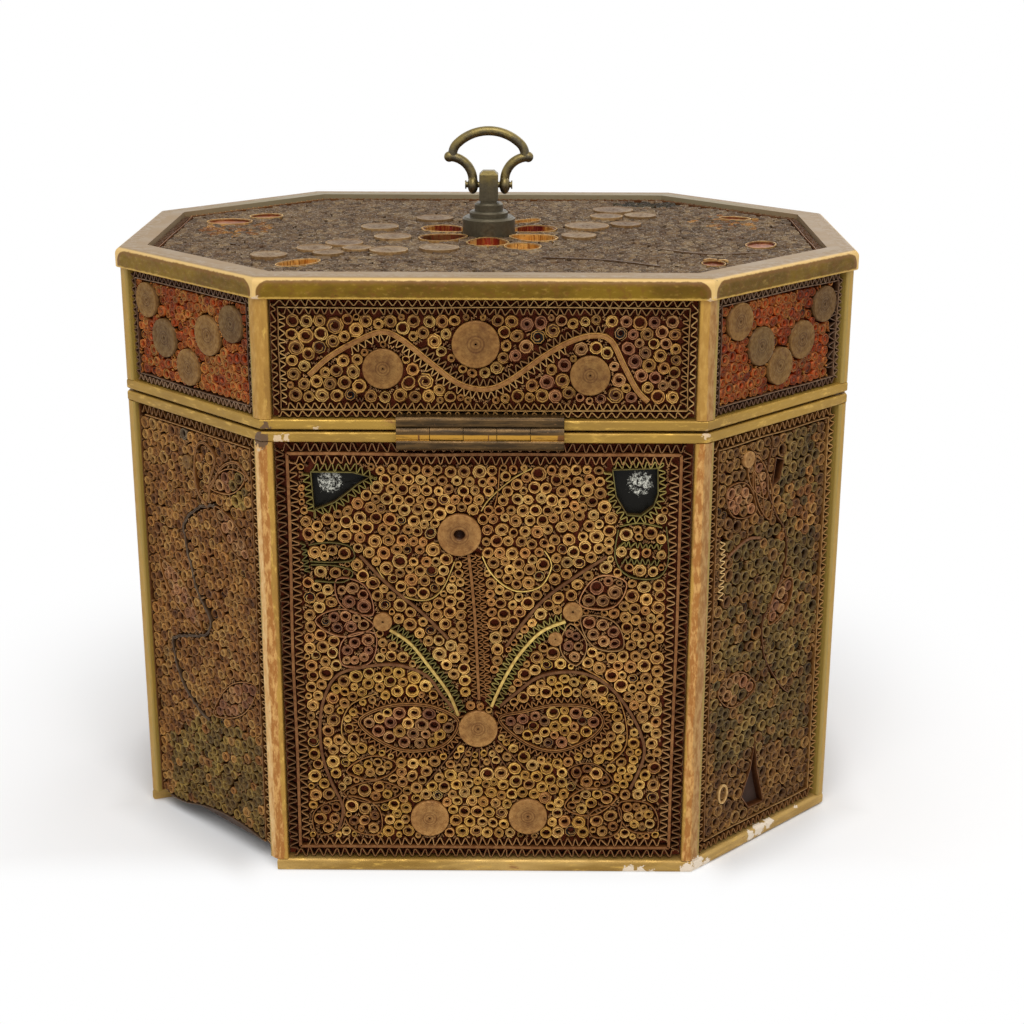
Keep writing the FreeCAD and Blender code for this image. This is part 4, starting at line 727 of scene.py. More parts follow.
def pressRosette(name, rings, sides, opening):
    bpy.ops.mesh.primitive_circle_add(vertices=sides, radius=1, fill_type="NGON", location=(0, 0, 0))
    piece = bpy.context.active_object
    piece.name = name
    step = (1 - opening) / rings

    def wind():
        for _ in range(rings):
            bpy.ops.mesh.inset(thickness=step * 0.54, depth=-0.004)
            bpy.ops.mesh.inset(thickness=step * 0.23, depth=-0.022)
            bpy.ops.mesh.inset(thickness=step * 0.23, depth=0.022)
        bpy.ops.mesh.extrude_region_move(TRANSFORM_OT_translate={"value": (0, 0, -0.75)})
        bpy.ops.mesh.select_all(action="DESELECT")
        bpy.ops.mesh.select_mode(type="EDGE")
        bpy.ops.mesh.select_non_manifold(extend=False)
        bpy.ops.mesh.extrude_edges_move(TRANSFORM_OT_translate={"value": (0, 0, -1.0)})
        bpy.ops.mesh.edge_face_add()
        bpy.ops.mesh.select_mode(type="VERT")
        bpy.ops.mesh.select_all(action="SELECT")
        bpy.ops.mesh.normals_make_consistent(inside=False)

    inEditMode(piece, wind)
    # painted shade on sunk faces, above all the floor of the open middle
    return readShape(piece, 0.92, 1.14, -0.2)


coilShapes = [rollCoil(kind, *facts, way) for kind, facts in coilKinds.items() for way in (1, -1)]
fineShapes = [rollCoil(kind, *facts, way) for kind, facts in fineKinds.items() for way in (1, -1)]
rosetteShapes = {kind: pressRosette(kind, *facts) for kind, facts in rosetteKinds.items()}
print("coils rolled:", [len(shape["starts"]) for shape in coilShapes + fineShapes])
print("rosettes pressed:", [len(shape["starts"]) for shape in rosetteShapes.values()])


def stamp(name, batches, level, deepTint=None):
    # batches of (shape, copies, tints); a copy is x, y, foot, radius, squeeze, turn, lean x, lean y, height
    points, corners, starts, rims, tints = [], [], [], [], []
    pointCount = cornerCount = 0
    for shape, copies, colours in batches:
        if not len(copies):
            continue
        copies = np.asarray(copies, float)
        form = shape["points"]
        x = form[:, 0] * copies[:, 3:4]
        y = form[:, 1] * copies[:, 3:4] * copies[:, 4:5]
        cosine, sine = np.cos(copies[:, 5:6]), np.sin(copies[:, 5:6])
        x, y = x * cosine - y * sine, x * sine + y * cosine
        z = copies[:, 2:3] + form[:, 2] * copies[:, 8:9] + x * copies[:, 6:7] + y * copies[:, 7:8]
        points.append(np.stack([x + copies[:, 0:1], y + copies[:, 1:2], z], axis=2).reshape(-1, 3))
        order = np.arange(len(copies))[:, None]
        corners.append((shape["corners"] + order * len(form) + pointCount).ravel())
        starts.append((shape["starts"] + order * len(shape["corners"]) + cornerCount).ravel())
        rims.append(np.tile(shape["rims"], len(copies)))
        # painted shade: each copy's tint is scaled by its shape's shade
        painted = np.repeat(np.asarray(colours), len(form), axis=0) * np.tile(shape["shade"], len(copies))[:, None]
        # painted glow: deepTint replaces the tint on the lower half of each copy
        if deepTint is not None:
            painted[np.tile(form[:, 2] < 0.5, len(copies))] = deepTint
        tints.append(painted)
        pointCount += len(form) * len(copies)
        cornerCount += len(shape["corners"]) * len(copies)
    joined = [np.concatenate(part) for part in (points, corners, starts, rims, tints)]
    return linkMesh(name, meshOf(name, *joined, level))


# Drawing paths in a panel's own plane, in millimetres

def smoothPath(points, closed=False, step=1.0):
    knots = np.array(points, float)
    count = len(knots)
    line = []
    for k in range(count if closed else count - 1):
        if closed:
            a, b, c, d = knots[k - 1], knots[k], knots[(k + 1) % count], knots[(k + 2) % count]
        else:
            a, b, c, d = knots[max(k - 1, 0)], knots[k], knots[k + 1], knots[min(k + 2, count - 1)]
        pieces = max(2, int(np.linalg.norm(c - b) / step))
        for i in range(pieces):
            t = i / pieces
            square, cube = (2 * a - 5 * b + 4 * c - d) * t ** 2, (3 * b - a - 3 * c + d) * t ** 3
            line.append((2 * b + (c - a) * t + square + cube) / 2)
    line.append(knots[0] if closed else knots[-1])
    return np.array(line)


def alongPath(path):
    return np.concatenate([[0], np.cumsum(np.linalg.norm(np.diff(path, axis=0), axis=1))])


def pointsAt(path, distances):
    # places on a path and the directions square to it
    lengths = alongPath(path)
    x = np.interp(distances, lengths, path[:, 0])
    y = np.interp(distances, lengths, path[:, 1])
    ahead = np.stack([
        np.interp(distances + 0.3, lengths, path[:, 0]) - np.interp(distances - 0.3, lengths, path[:, 0]),
        np.interp(distances + 0.3, lengths, path[:, 1]) - np.interp(distances - 0.3, lengths, path[:, 1]),
    ], axis=1)
    ahead /= np.maximum(np.linalg.norm(ahead, axis=1), 1e-6)[:, None]
    return np.stack([x, y], axis=1), np.stack([-ahead[:, 1], ahead[:, 0]], axis=1)


def besidePath(path, distance):
    places, sideways = pointsAt(path, alongPath(path))
    return places + sideways * distance


def crimp(path, pitch, swing, rng):
    # a strip creased to and fro along a path, with rounded crests
    total = alongPath(path)[-1]
    crests = max(3, int(round(total / pitch)) * 2)
    middle = (np.arange(crests) + 0.5) * total / crests + rng.normal(0, pitch * 0.07, crests)
    side = np.where(np.arange(crests) % 2, 1, -1) * swing / 2 * (1 + rng.normal(0, 0.12, crests))
    distances = np.stack([middle - pitch * 0.11, middle, middle + pitch * 0.11], axis=1).ravel()
    places, sideways = pointsAt(path, distances)
    return places + sideways * (np.repeat(side, 3) * np.tile((0.80, 1.0, 0.80), crests))[:, None]


def ellipse(x, y, wide, high, turn=0.0, count=14):
    angles = np.arange(count) * 2 * math.pi / count
    px, py = np.cos(angles) * wide, np.sin(angles) * high
    cosine, sine = math.cos(turn), math.sin(turn)
    return np.stack([x + px * cosine - py * sine, y + px * sine + py * cosine], axis=1)


def leafOutline(start, tip, width, bend=0.0):
    # a pointed leaf or drop from its stalk to its tip
    start, tip = np.array(start, float), np.array(tip, float)
    run = tip - start
    side = np.array([-run[1], run[0]]) / np.linalg.norm(run)
    shares = ((0, 0), (0.25, 0.36), (0.55, 0.5), (0.82, 0.34), (1, 0.0), (0.82, -0.34), (0.55, -0.5), (0.25, -0.36))
    return [start + run * along + side * (across * width + bend * math.sin(math.pi * along)) for along, across in shares]


def insideOf(spots, outline):
    outline = np.asarray(outline, float)
    x, y = spots[:, 0], spots[:, 1]
    within = np.zeros(len(spots), bool)
    for (x1, y1), (x2, y2) in zip(outline, np.roll(outline, -1, axis=0)):
        if y1 == y2:
            continue
        crossed = ((y1 > y) != (y2 > y)) & (x < (x2 - x1) * (y - y1) / (y2 - y1) + x1)
        within ^= crossed
    return within


# Packing the coils between everything else

packing = {
    "rounds": 50, "swellRounds": 16, "pitch": 1.80, "press": 0.28,
    "least": 0.72, "most": 1.30,       # how far a coil may shrink or swell
    "smallest": 0.42, "scrap": 0.20,   # shares of a coil's size: smallest coil, smallest gap with a scrap
    "fieldStep": 0.4,
}


def nearestOnStrips(spots, strips):
    start, run = strips[:, :2], strips[:, 2:4] - strips[:, :2]
    share = ((spots[:, None] - start) * run).sum(2) / np.maximum((run ** 2).sum(1), 1e-9)
    away = spots[:, None] - (start + np.clip(share, 0, 1)[..., None] * run)
    return np.sqrt((away ** 2).sum(2)) - strips[:, 4]


def roomField(walls, discs, strips, low, high):
    # how far each place is from the nearest thing that isn't a coil, and which way leads off
    step = packing["fieldStep"]
    across, up = np.arange(low[0], high[0] + step, step), np.arange(low[1], high[1] + step, step)
    grid = np.stack(np.meshgrid(across, up), axis=2).reshape(-1, 2).astype(np.float32)
    room = np.full(len(grid), 9.0, np.float32)
    for nx, ny, limit in walls:
        room = np.minimum(room, limit - grid @ np.array([nx, ny], np.float32))
    for x, y, reach in discs:
        room = np.minimum(room, np.hypot(grid[:, 0] - x, grid[:, 1] - y) - reach)
    if len(strips):
        strips = strips.astype(np.float32)
        for part in range(0, len(grid), 3000):
            rows = slice(part, part + 3000)
            room[rows] = np.minimum(room[rows], nearestOnStrips(grid[rows], strips).min(1))
    room = room.reshape(len(up), len(across))
    slopes = np.gradient(room, step)
    return {"low": np.array(low, float), "layers": np.stack([room, slopes[1], slopes[0]], axis=2), "grid": grid}


def readField(field, spots):
    layers = field["layers"]
    place = np.clip((spots - field["low"]) / packing["fieldStep"], 0, np.array(layers.shape[1::-1]) - 1.001)
    cell = place.astype(int)
    (px, py), (cx, cy) = (place - cell).T[..., None], cell.T
    lower = layers[cy, cx] * (1 - px) + layers[cy, cx + 1] * px
    upper = layers[cy + 1, cx] * (1 - px) + layers[cy + 1, cx + 1] * px
    blend = lower * (1 - py) + upper * py
    way = blend[:, 1:] / np.maximum(np.linalg.norm(blend[:, 1:], axis=1), 1e-6)[:, None]
    return blend[:, 0], way


def treeOf(spots):
    tree = KDTree(len(spots))
    for k, (x, y) in enumerate(spots):
        tree.insert((x, y, 0), k)
    tree.balance()
    return tree


def closePairs(spots, reach):
    tree = treeOf(spots)
    pairs = [(k, other) for k, (x, y) in enumerate(spots)
             for _, other, _ in tree.find_range((x, y, 0), reach) if other > k]
    return np.array(sorted(pairs)).T


def spread(spots, sizes, field):
    # the coils push one another and keep off the strips and rosettes
    for turn in range(packing["rounds"]):
        if turn % 10 == 0:
            first, second = closePairs(spots, sizes.max() * 3)
        gap = spots[first] - spots[second]
        reach = np.maximum(np.linalg.norm(gap, axis=1), 1e-6)
        lack = np.clip(sizes[first] + sizes[second] - reach, 0, None)
        push = gap * (lack / reach * 0.40)[:, None]
        np.add.at(spots, first, push)
        np.add.at(spots, second, -push)
        room, way = readField(field, spots)
        spots += way * np.clip(sizes - room, 0, 1.0)[:, None] * 0.9
    return spots


def swell(spots, sizes, field, size):
    # then each opens out or is pressed in until it touches its neighbours
    first, second = closePairs(spots, size * packing["most"] * 2.2)
    reach = np.linalg.norm(spots[first] - spots[second], axis=1)
    room = readField(field, spots)[0]
    for turn in range(packing["swellRounds"]):
        slack = room - sizes
        between = reach - sizes[first] - sizes[second] + packing["press"]
        np.minimum.at(slack, first, between)
        np.minimum.at(slack, second, between)
        sizes = np.clip(sizes + slack / 2, size * packing["least"], size * packing["most"])
    crowded = reach - sizes[first] - sizes[second] < -0.45
    dropped = set()
    for i, j in zip(first[crowded], second[crowded]):
        if i not in dropped and j not in dropped:
            dropped.add(i if sizes[i] < sizes[j] else j)
    kept = np.array([k not in dropped for k in range(len(spots))]) & (room > sizes - 0.35)
    return spots[kept], sizes[kept]


def packCoils(rng, walls, discs, strips, size, extent):
    low, high = extent
    pitch = size * packing["pitch"]
    field = roomField(walls, discs, strips, low, high)
    rows = np.arange(low[1], high[1], pitch * 0.866)
    spots = np.array([
        (x + (k % 2) * pitch / 2, y) for k, y in enumerate(rows) for x in np.arange(low[0], high[0], pitch)
    ])
    spots += rng.normal(0, pitch * 0.17, spots.shape)
    spots = spots[readField(field, spots)[0] > size * 0.42]
    sizes = size * np.clip(rng.normal(1, 0.13, len(spots)), 0.74, 1.26)
    spots, sizes = swell(spread(spots, sizes, field), sizes, field, size)
    # small coils fill what is left
    room = field["layers"][:, :, 0].ravel()
    smallest, scrap = size * packing["smallest"], size * packing["scrap"]
    grid, room = field["grid"][room > scrap], room[room > scrap]
    tree = treeOf(spots)
    for k, (x, y) in enumerate(grid):
        for _, other, reach in tree.find_n((x, y, 0), 4):
            room[k] = min(room[k], reach - sizes[other])
    added = []
    grid, room = grid[room > scrap], room[room > scrap]
    while len(grid) and room.max() > smallest:
        best = room.argmax()
        reach = min(room[best] + 0.08, size * 1.1)
        added.append((*grid[best], reach))
        room = np.minimum(room, np.hypot(*(grid - grid[best]).T) - reach)
    scraps = []
    while len(grid) and room.max() > scrap:
        best = room.argmax()
        scraps.append((*grid[best], room[best]))
        room = np.minimum(room, np.hypot(*(grid - grid[best]).T) - room[best] * 1.1)
    if added:
        added = np.array(added)
        spots, sizes = np.vstack([spots, added[:, :2]]), np.concatenate([sizes, added[:, 2]])
    room = readField(field, spots)[0]
    return spots[room > 0.3], np.minimum(sizes + 0.03, np.maximum(room + 0.1, 0.4))[room > 0.3], scraps


# A panel: where it lies, what is drawn on it and how it is filled

faces = ("back", "back_right", "right", "front_right", "front", "front_left", "left", "back_left")
quill = {
    "stripWidth": 0.21, "foot": 0.12, "coilTop": 2.28, "rosetteTop": 2.58,
    "coilSize": 1.47,
    "bodyBorder": {"outer": (1.20, 1.85, 2.05), "strip": 2.7, "inner": (4.0, 1.75, 1.95), "inside": 4.9,
                   "thick": True},
    "lidBorder": {"outer": (0.85, 1.15, 2.05), "strip": 1.8, "inner": (2.6, 1.25, 1.75), "inside": 3.2,
                  "tint": "lidZigzag"},
    "topBorder": {"outer": (1.0, 1.3, 1.8), "strip": 2.0, "inside": 2.3},
    "cantBorder": {"outer": (1.15, 1.7, 1.85), "strip": 2.55, "inside": 2.85, "tint": "dullBorder"},
    "lidCantBorder": {"outer": (0.85, 1.25, 1.6), "strip": 1.75, "inside": 2.0, "tint": "dirtyBorder"},
    "borderStrip": 0.62,
}
tints = {   # colours of the paper's gilt edges, as the screen shows them
    "ochre": ((186, 151, 90), (199, 164, 99), (171, 135, 78), (177, 135, 80), (164, 129, 75), (190, 161, 101)),
    "lidOchre": ((164, 132, 73), (176, 143, 81), (150, 118, 63), (156, 118, 65), (144, 112, 61), (168, 141, 83)),
    "yellow": ((196, 162, 87), (186, 152, 78), (177, 142, 71), (204, 172, 100), (167, 131, 69)),
    "plum": ((149, 108, 75), (159, 118, 82), (136, 96, 69), (165, 129, 87), (144, 112, 73)),
    "rust": ((156, 97, 41), (141, 84, 33), (166, 114, 53), (134, 70, 28), (152, 110, 53)),
    "darkRust": ((134, 73, 24), (120, 62, 19), (142, 88, 32), (112, 52, 16), (131, 84, 32)),
    "olive": ((114, 97, 50), (103, 87, 45), (125, 106, 58), (95, 80, 42), (132, 112, 63)),
    "brown": ((149, 110, 58), (136, 97, 50), (160, 123, 67), (126, 88, 45), (164, 131, 76)),
    "moss": ((130, 112, 58), (118, 100, 52), (146, 126, 66), (108, 90, 48)),
    "slate": ((92, 86, 74), (78, 74, 64), (104, 94, 78)),
    "inkStem": ((92, 76, 62), (82, 68, 54)),
    "dust": ((126, 112, 94), (117, 103, 86), (107, 93, 78), (138, 125, 105), (97, 84, 69)),
    "border": ((128, 97, 62), (114, 84, 52), (142, 111, 74), (104, 76, 48)),
    "lidZigzag": ((150, 122, 78), (132, 104, 62), (164, 136, 92), (118, 90, 54)),
    "frame": ((114, 78, 44), (124, 86, 50)),
    "discRim": ((160, 136, 100), (142, 119, 87)),
    "strip": ((120, 84, 46), (132, 95, 54)),
    "dullBorder": ((138, 104, 62), (122, 88, 50), (150, 118, 74)),
    "dirtyBorder": ((104, 84, 68), (92, 70, 56), (120, 98, 80)),
    "stem": ((186, 164, 98), (174, 150, 88)),
    "darkStem": ((110, 76, 44), (98, 66, 38)),
    "green": ((110, 103, 54), (94, 89, 48), (124, 115, 64)),
    "tan": ((127, 95, 49), (114, 85, 44), (138, 105, 55), (105, 76, 38), (140, 110, 62)),
    "deepGreen": ((62, 58, 38), (50, 46, 32)),
    "faint": ((104, 84, 64), (94, 76, 58)),
    "rosette": ((138, 104, 60), (132, 98, 56)),
    "lidRosette": ((117, 86, 45), (112, 82, 43)),
    "greyRosette": ((107, 80, 37), (94, 71, 35), (111, 82, 38)),
    "dustRosette": ((122, 104, 80), (112, 94, 72)),
    "pale": ((206, 178, 128), (192, 162, 112)),
    # used for a painted glow deep among the lid's corner coils
    "ember": ((255, 118, 44),),
}
tintValues = {
    name: np.array([paint(red * 1.07, green * 1.02, blue * 0.93)[:3] for red, green, blue in colours])
    for name, colours in tints.items()
}


def pickTints(rng, name, count, vary=0.10):
    values = tintValues[name]
    picked = values[rng.integers(0, len(values), count)]
    return picked * np.clip(rng.normal(1, vary, (count, 1)), 0.6, 1.5)


def faceSpace(node, turn):
    # the panel's plane from the node's own mesh: x along the face, y up, z outwards
    out = Vector((math.sin(turn), -math.cos(turn), 0))
    along = Vector((math.cos(turn), math.sin(turn), 0))
    points = [v.co for v in frame["nodes"][node].data.vertices]
    across = [p.dot(along) / mm for p in points]
    levels = [p.z / mm for p in points]
    depth = min(p.dot(out) for p in points)
    middle = (min(across) + max(across)) / 2
    matrix = Matrix((
        (along.x * mm, 0, out.x * mm, along.x * middle * mm + out.x * depth),
        (along.y * mm, 0, out.y * mm, along.y * middle * mm + out.y * depth),
        (0, mm, 0, 0),
        (0, 0, 0, 1),
    ))
    half = (max(across) - min(across)) / 2
    return {"matrix": matrix, "half": half, "low": min(levels), "high": max(levels)}


def startJob(name, node, body, space, seed, border, size=None):
    return {
        "name": name, "node": node, "body": body, "space": space, "rng": np.random.default_rng(seed),
        "border": border, "size": size or quill["coilSize"], "level": quill["coilTop"],
        "thin": [], "thick": [], "guards": [], "discs": [], "rosettes": [], "zones": [], "windows": [],
        "ground": "ochre", "shapes": coilShapes, "weights": (0.16, 0.38, 0.30, 0.16), "parts": 1, "deepTint": None,
        "scraps": "border",
    }


def guard(job, path, halfWidth):
    path = np.asarray(path)
    step = 2 if len(path) > 16 else 1
    kept = path[::step] if (len(path) - 1) % step == 0 else np.vstack([path[::step], path[-1:]])
    for (x1, y1), (x2, y2) in zip(kept[:-1], kept[1:]):
        job["guards"].append((x1, y1, x2, y2, halfWidth))


def addStrip(job, points, tint, closed=False, thick=False, smooth=True, rise=0.0, double=0.0):
    path = smoothPath(points, closed) if smooth else np.asarray(points, float)
    rng = job["rng"]
    for offset in ((-double / 2, double / 2) if double else (0.0,)):
        line = besidePath(path, offset) if offset else path
        job["thick" if thick else "thin"].append((line, quill["foot"] + rise, pickTints(rng, tint, 1)[0]))
    guard(job, path, (0.3 if thick else 0.14) + double / 2)
    return path


def addCrimp(job, path, offset, pitch, swing, tint, guarded=True):
    rng = job["rng"]
    line = besidePath(path, offset) if offset else path
    zigzag = crimp(line, pitch, swing, rng)
    job["thin"].append((zigzag, quill["foot"] + rng.normal(-0.06, 0.04), pickTints(rng, tint, 1)[0]))
    if guarded:
        guard(job, line, swing / 2 - 0.05)


def addRosette(job, x, y, radius, kind="large", tint="rosette"):
    rng = job["rng"]
    job["rosettes"].append((x, y, radius, kind, pickTints(rng, tint, 1, 0.04)[0]))
    job["discs"].append((x, y, radius + 0.08))


def borderRun(job, corners, inset, bow=0.0):
    # the panel's outline drawn in by inset, one side at a time
    rng = job["rng"]
    count = len(corners)
    sides = []
    for k in range(count):
        a, b = np.array(corners[k], float), np.array(corners[(k + 1) % count], float)
        before, after = np.array(corners[k - 1], float), np.array(corners[(k + 2) % count], float)
        run = (b - a) / np.linalg.norm(b - a)
        inward = np.array([-run[1], run[0]])
        lead = (a - before) / np.linalg.norm(a - before)
        follow = (after - b) / np.linalg.norm(after - b)
        startTrim = inset * math.tan(math.acos(np.clip(lead @ run, -1, 1)) / 2)
        endTrim = inset * math.tan(math.acos(np.clip(run @ follow, -1, 1)) / 2)
        start, end = a + inward * inset + run * startTrim, b + inward * inset - run * endTrim
        shares = np.linspace(0, 1, 9)
        wander = np.concatenate([[0], rng.normal(0, bow, 7), [0]])
        wander = np.convolve(np.pad(wander, 1, mode="edge"), (0.25, 0.5, 0.25), mode="valid")
        sides.append(np.array([start + (end - start) * s + inward * w for s, w in zip(shares, wander)]))
    return sides


def drawBorder(job, corners, skip=()):
    facts = job["border"]
    outerAt, outerSwing, outerPitch = facts["outer"]
    for k, side in enumerate(borderRun(job, corners, outerAt)):
        if k not in skip:
            addCrimp(job, side, 0, outerPitch, outerSwing, facts.get("tint", "border"), False)
    for k, side in enumerate(borderRun(job, corners, facts["strip"], 0.16)):
        if k not in skip:
            addStrip(job, side, facts.get("tint", "frame"), thick=facts.get("thick", False))
    if "inner" in facts:
        innerAt, innerSwing, innerPitch = facts["inner"]
        for k, side in enumerate(borderRun(job, corners, innerAt)):
            if k not in skip:
                addCrimp(job, side, 0, innerPitch, innerSwing, facts.get("tint", "border"), False)


def wallsOf(corners, inset):
    walls = []
    for k in range(len(corners)):
        a, b = np.array(corners[k], float), np.array(corners[(k + 1) % len(corners)], float)
        run = (b - a) / np.linalg.norm(b - a)
        outward = np.array([run[1], -run[0]])
        walls.append((outward[0], outward[1], outward @ a - inset))
    return walls


def finishPiece(job, piece, suffix, material, node=None):
    piece.name = job["name"] + "_" + suffix
    piece.data.name = piece.name
    piece.data.materials.clear()
    piece.data.materials.append(material)
    piece.data.transform(job["space"]["matrix"])
    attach(piece, job["body"])
    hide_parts(node or job["node"])


def fillPanel(job, corners, skip=()):
    rng = job["rng"]
    walls = [w for k, w in enumerate(wallsOf(corners, job["border"]["inside"])) if k not in skip]
    walls += [w for k, w in enumerate(wallsOf(corners, 0.3)) if k in skip]
    discs = np.array(job["discs"], float).reshape(-1, 3)
    guards = np.array(job["guards"], float).reshape(-1, 5)
    low, high = np.min(corners, axis=0), np.max(corners, axis=0)
    spots, sizes, scraps = packCoils(rng, walls, discs, guards, job["size"], (low, high))
    for x, y, reach in scraps:
        # crimped to and fro across the gap
        turn = rng.uniform(0, math.pi)
        along = np.linspace(-1, 1, 5) * reach * 1.15
        across = np.array((-1, 1, -1, 1, -1)) * reach * rng.uniform(0.3, 0.65)
        line = np.stack([x + along * math.cos(turn) - across * math.sin(turn),
                         y + along * math.sin(turn) + across * math.cos(turn)], axis=1)
        if not any(insideOf(line, window).any() for window in job["windows"]):
            job["thin"].append((line, quill["foot"] - rng.uniform(0.0, 0.1), pickTints(rng, job["scraps"], 1)[0]))
    outside = np.ones(len(spots), bool)
    for window in job["windows"]:
        outside &= ~insideOf(spots, window)
    spots, sizes = spots[outside], sizes[outside]
    colours = pickTints(rng, job["ground"], len(spots), 0.05 if job["ground"] == "dust" else 0.10)
    for outline, name, share in job["zones"]:
        within = insideOf(spots, outline) & (rng.random(len(spots)) < share)
        colours[within] = pickTints(rng, name, int(within.sum()))
    count = len(spots)
    drop = np.abs(rng.normal(0, 0.13, count)) + (rng.random(count) < 0.04) * 0.5
    leans = np.clip(rng.normal(0, 0.05, (count, 2)), -0.12, 0.12)
    tall = job["level"] - quill["foot"] - drop - np.abs(leans).sum(1) * sizes * 0.5
    squeeze = np.clip(1 - np.abs(rng.normal(0, 0.07, count)), 0.70, 1.0)
    turns = rng.uniform(0, 2 * math.pi, count)
    copies = np.column_stack([spots, np.full(count, quill["foot"]), sizes, squeeze, turns, leans, tall])
    shapes = job["shapes"]
    weights = np.repeat(job["weights"], 2)
    kinds = rng.choice(len(shapes), count, p=weights / weights.sum())
    kinds[sizes < 0.80] = len(shapes) - 2 + kinds[sizes < 0.80] % 2
    parts = job["parts"]
    for part in range(parts):
        here = (np.arange(count) * parts // count) == part
        batches = [(shape, copies[here & (kinds == k)], colours[here & (kinds == k)]) for k, shape in enumerate(shapes)]
        piece = stamp("coils", batches, job["level"], job["deepTint"])
        finishPiece(job, piece, "coils" if parts == 1 else "coils_%d" % part, materials["paper"])
    return count


def finishPanel(job, corners, skip=(), outline=None):
    count = fillPanel(job, corners, skip)
    tall = job["level"] - quill["foot"]
    parts = [standStrips("thin", job["thin"], quill["stripWidth"], tall, job["level"])]
    if job["thick"]:
        parts.append(standStrips("thick", job["thick"], quill["borderStrip"], tall + 0.1, job["level"]))
    selectOnly(parts[0])
    for part in parts[1:]:
        part.select_set(True)
    if len(parts) > 1:
        bpy.ops.object.join()
    finishPiece(job, parts[0], "strips", materials["paper"])
    if job["rosettes"]:
        batches = []
        rise = quill["rosetteTop"] - quill["coilTop"]
        for x, y, radius, kind, tint in job["rosettes"]:
            copy = (x, y, job["level"] + rise, radius, 1, job["rng"].uniform(0, 6), 0, 0, job["level"] + rise - 0.15)
            batches.append((rosetteShapes[kind], [copy], [tint]))
        finishPiece(job, stamp("rosettes", batches, job["level"]), "rosettes", materials["paper"])
    layGround(job, outline or corners)
    pieces = [p for p in bpy.data.objects if p.name.startswith(job["name"] + "_") and p.type == "MESH"]
    sizes = {p.name[len(job["name"]) + 1:]: len(p.data.loops) - 2 * len(p.data.polygons) for p in pieces}
    print(job["name"], count, "coils", sizes)


def layGround(job, corners):
    # the paper that everything is glued to
    mesh = bpy.data.meshes.new("ground")
    mesh.from_pydata([(x, y, 0.0) for x, y in corners], [], [tuple(range(len(corners)))])
    piece = linkMesh("ground", mesh)

    def cockle():
        bpy.ops.mesh.inset(thickness=0.8, depth=0.06)
        bpy.ops.mesh.poke()

    inEditMode(piece, cockle)
    applyModifier(piece, "SOLIDIFY", thickness=0.16, offset=1.0)
    finishPiece(job, piece, "ground", materials["ground"])


def layFoil(job, outline, kind, level, name, node=None):
    mesh = bpy.data.meshes.new(name)
    mesh.from_pydata([(x, y, level) for x, y in outline], [], [tuple(range(len(outline)))])
    piece = linkMesh(name, mesh)

    def crumple():
        bpy.ops.mesh.poke()
        bpy.ops.mesh.subdivide(number_cuts=2)
        bpy.ops.transform.vertex_random(offset=0.12, seed=5)

    inEditMode(piece, crumple)
    applyModifier(piece, "SOLIDIFY", thickness=0.08, offset=-1.0)
    finishPiece(job, piece, name, materials[kind], node)


def rectangleOf(space):
    return [(-space["half"], space["low"]), (space["half"], space["low"]),
            (space["half"], space["high"]), (-space["half"], space["high"])]


def bodyJob(face, seed, ground, size=None):
    node = "body_quillwork_" + face
    space = faceSpace(node, math.radians(45 * faces.index(face)))
    border = quill["cantBorder" if face in ("back_left", "back_right") else "bodyBorder"]
    job = startJob("quill_body_" + face, node, "caddy_body", space, seed, border, size)
    job["ground"] = ground
    return job, rectangleOf(space)


def lidJob(face, seed, ground, size=None):
    node = "lid_quillwork_" + face
    space = faceSpace(node, math.radians(45 * faces.index(face)))
    border = quill["lidCantBorder" if "_" in face else "lidBorder"]
    job = startJob("quill_lid_" + face, node, "lid", space, seed, border, size)
    job["ground"] = ground
    return job, rectangleOf(space)


# The hinge side's panel

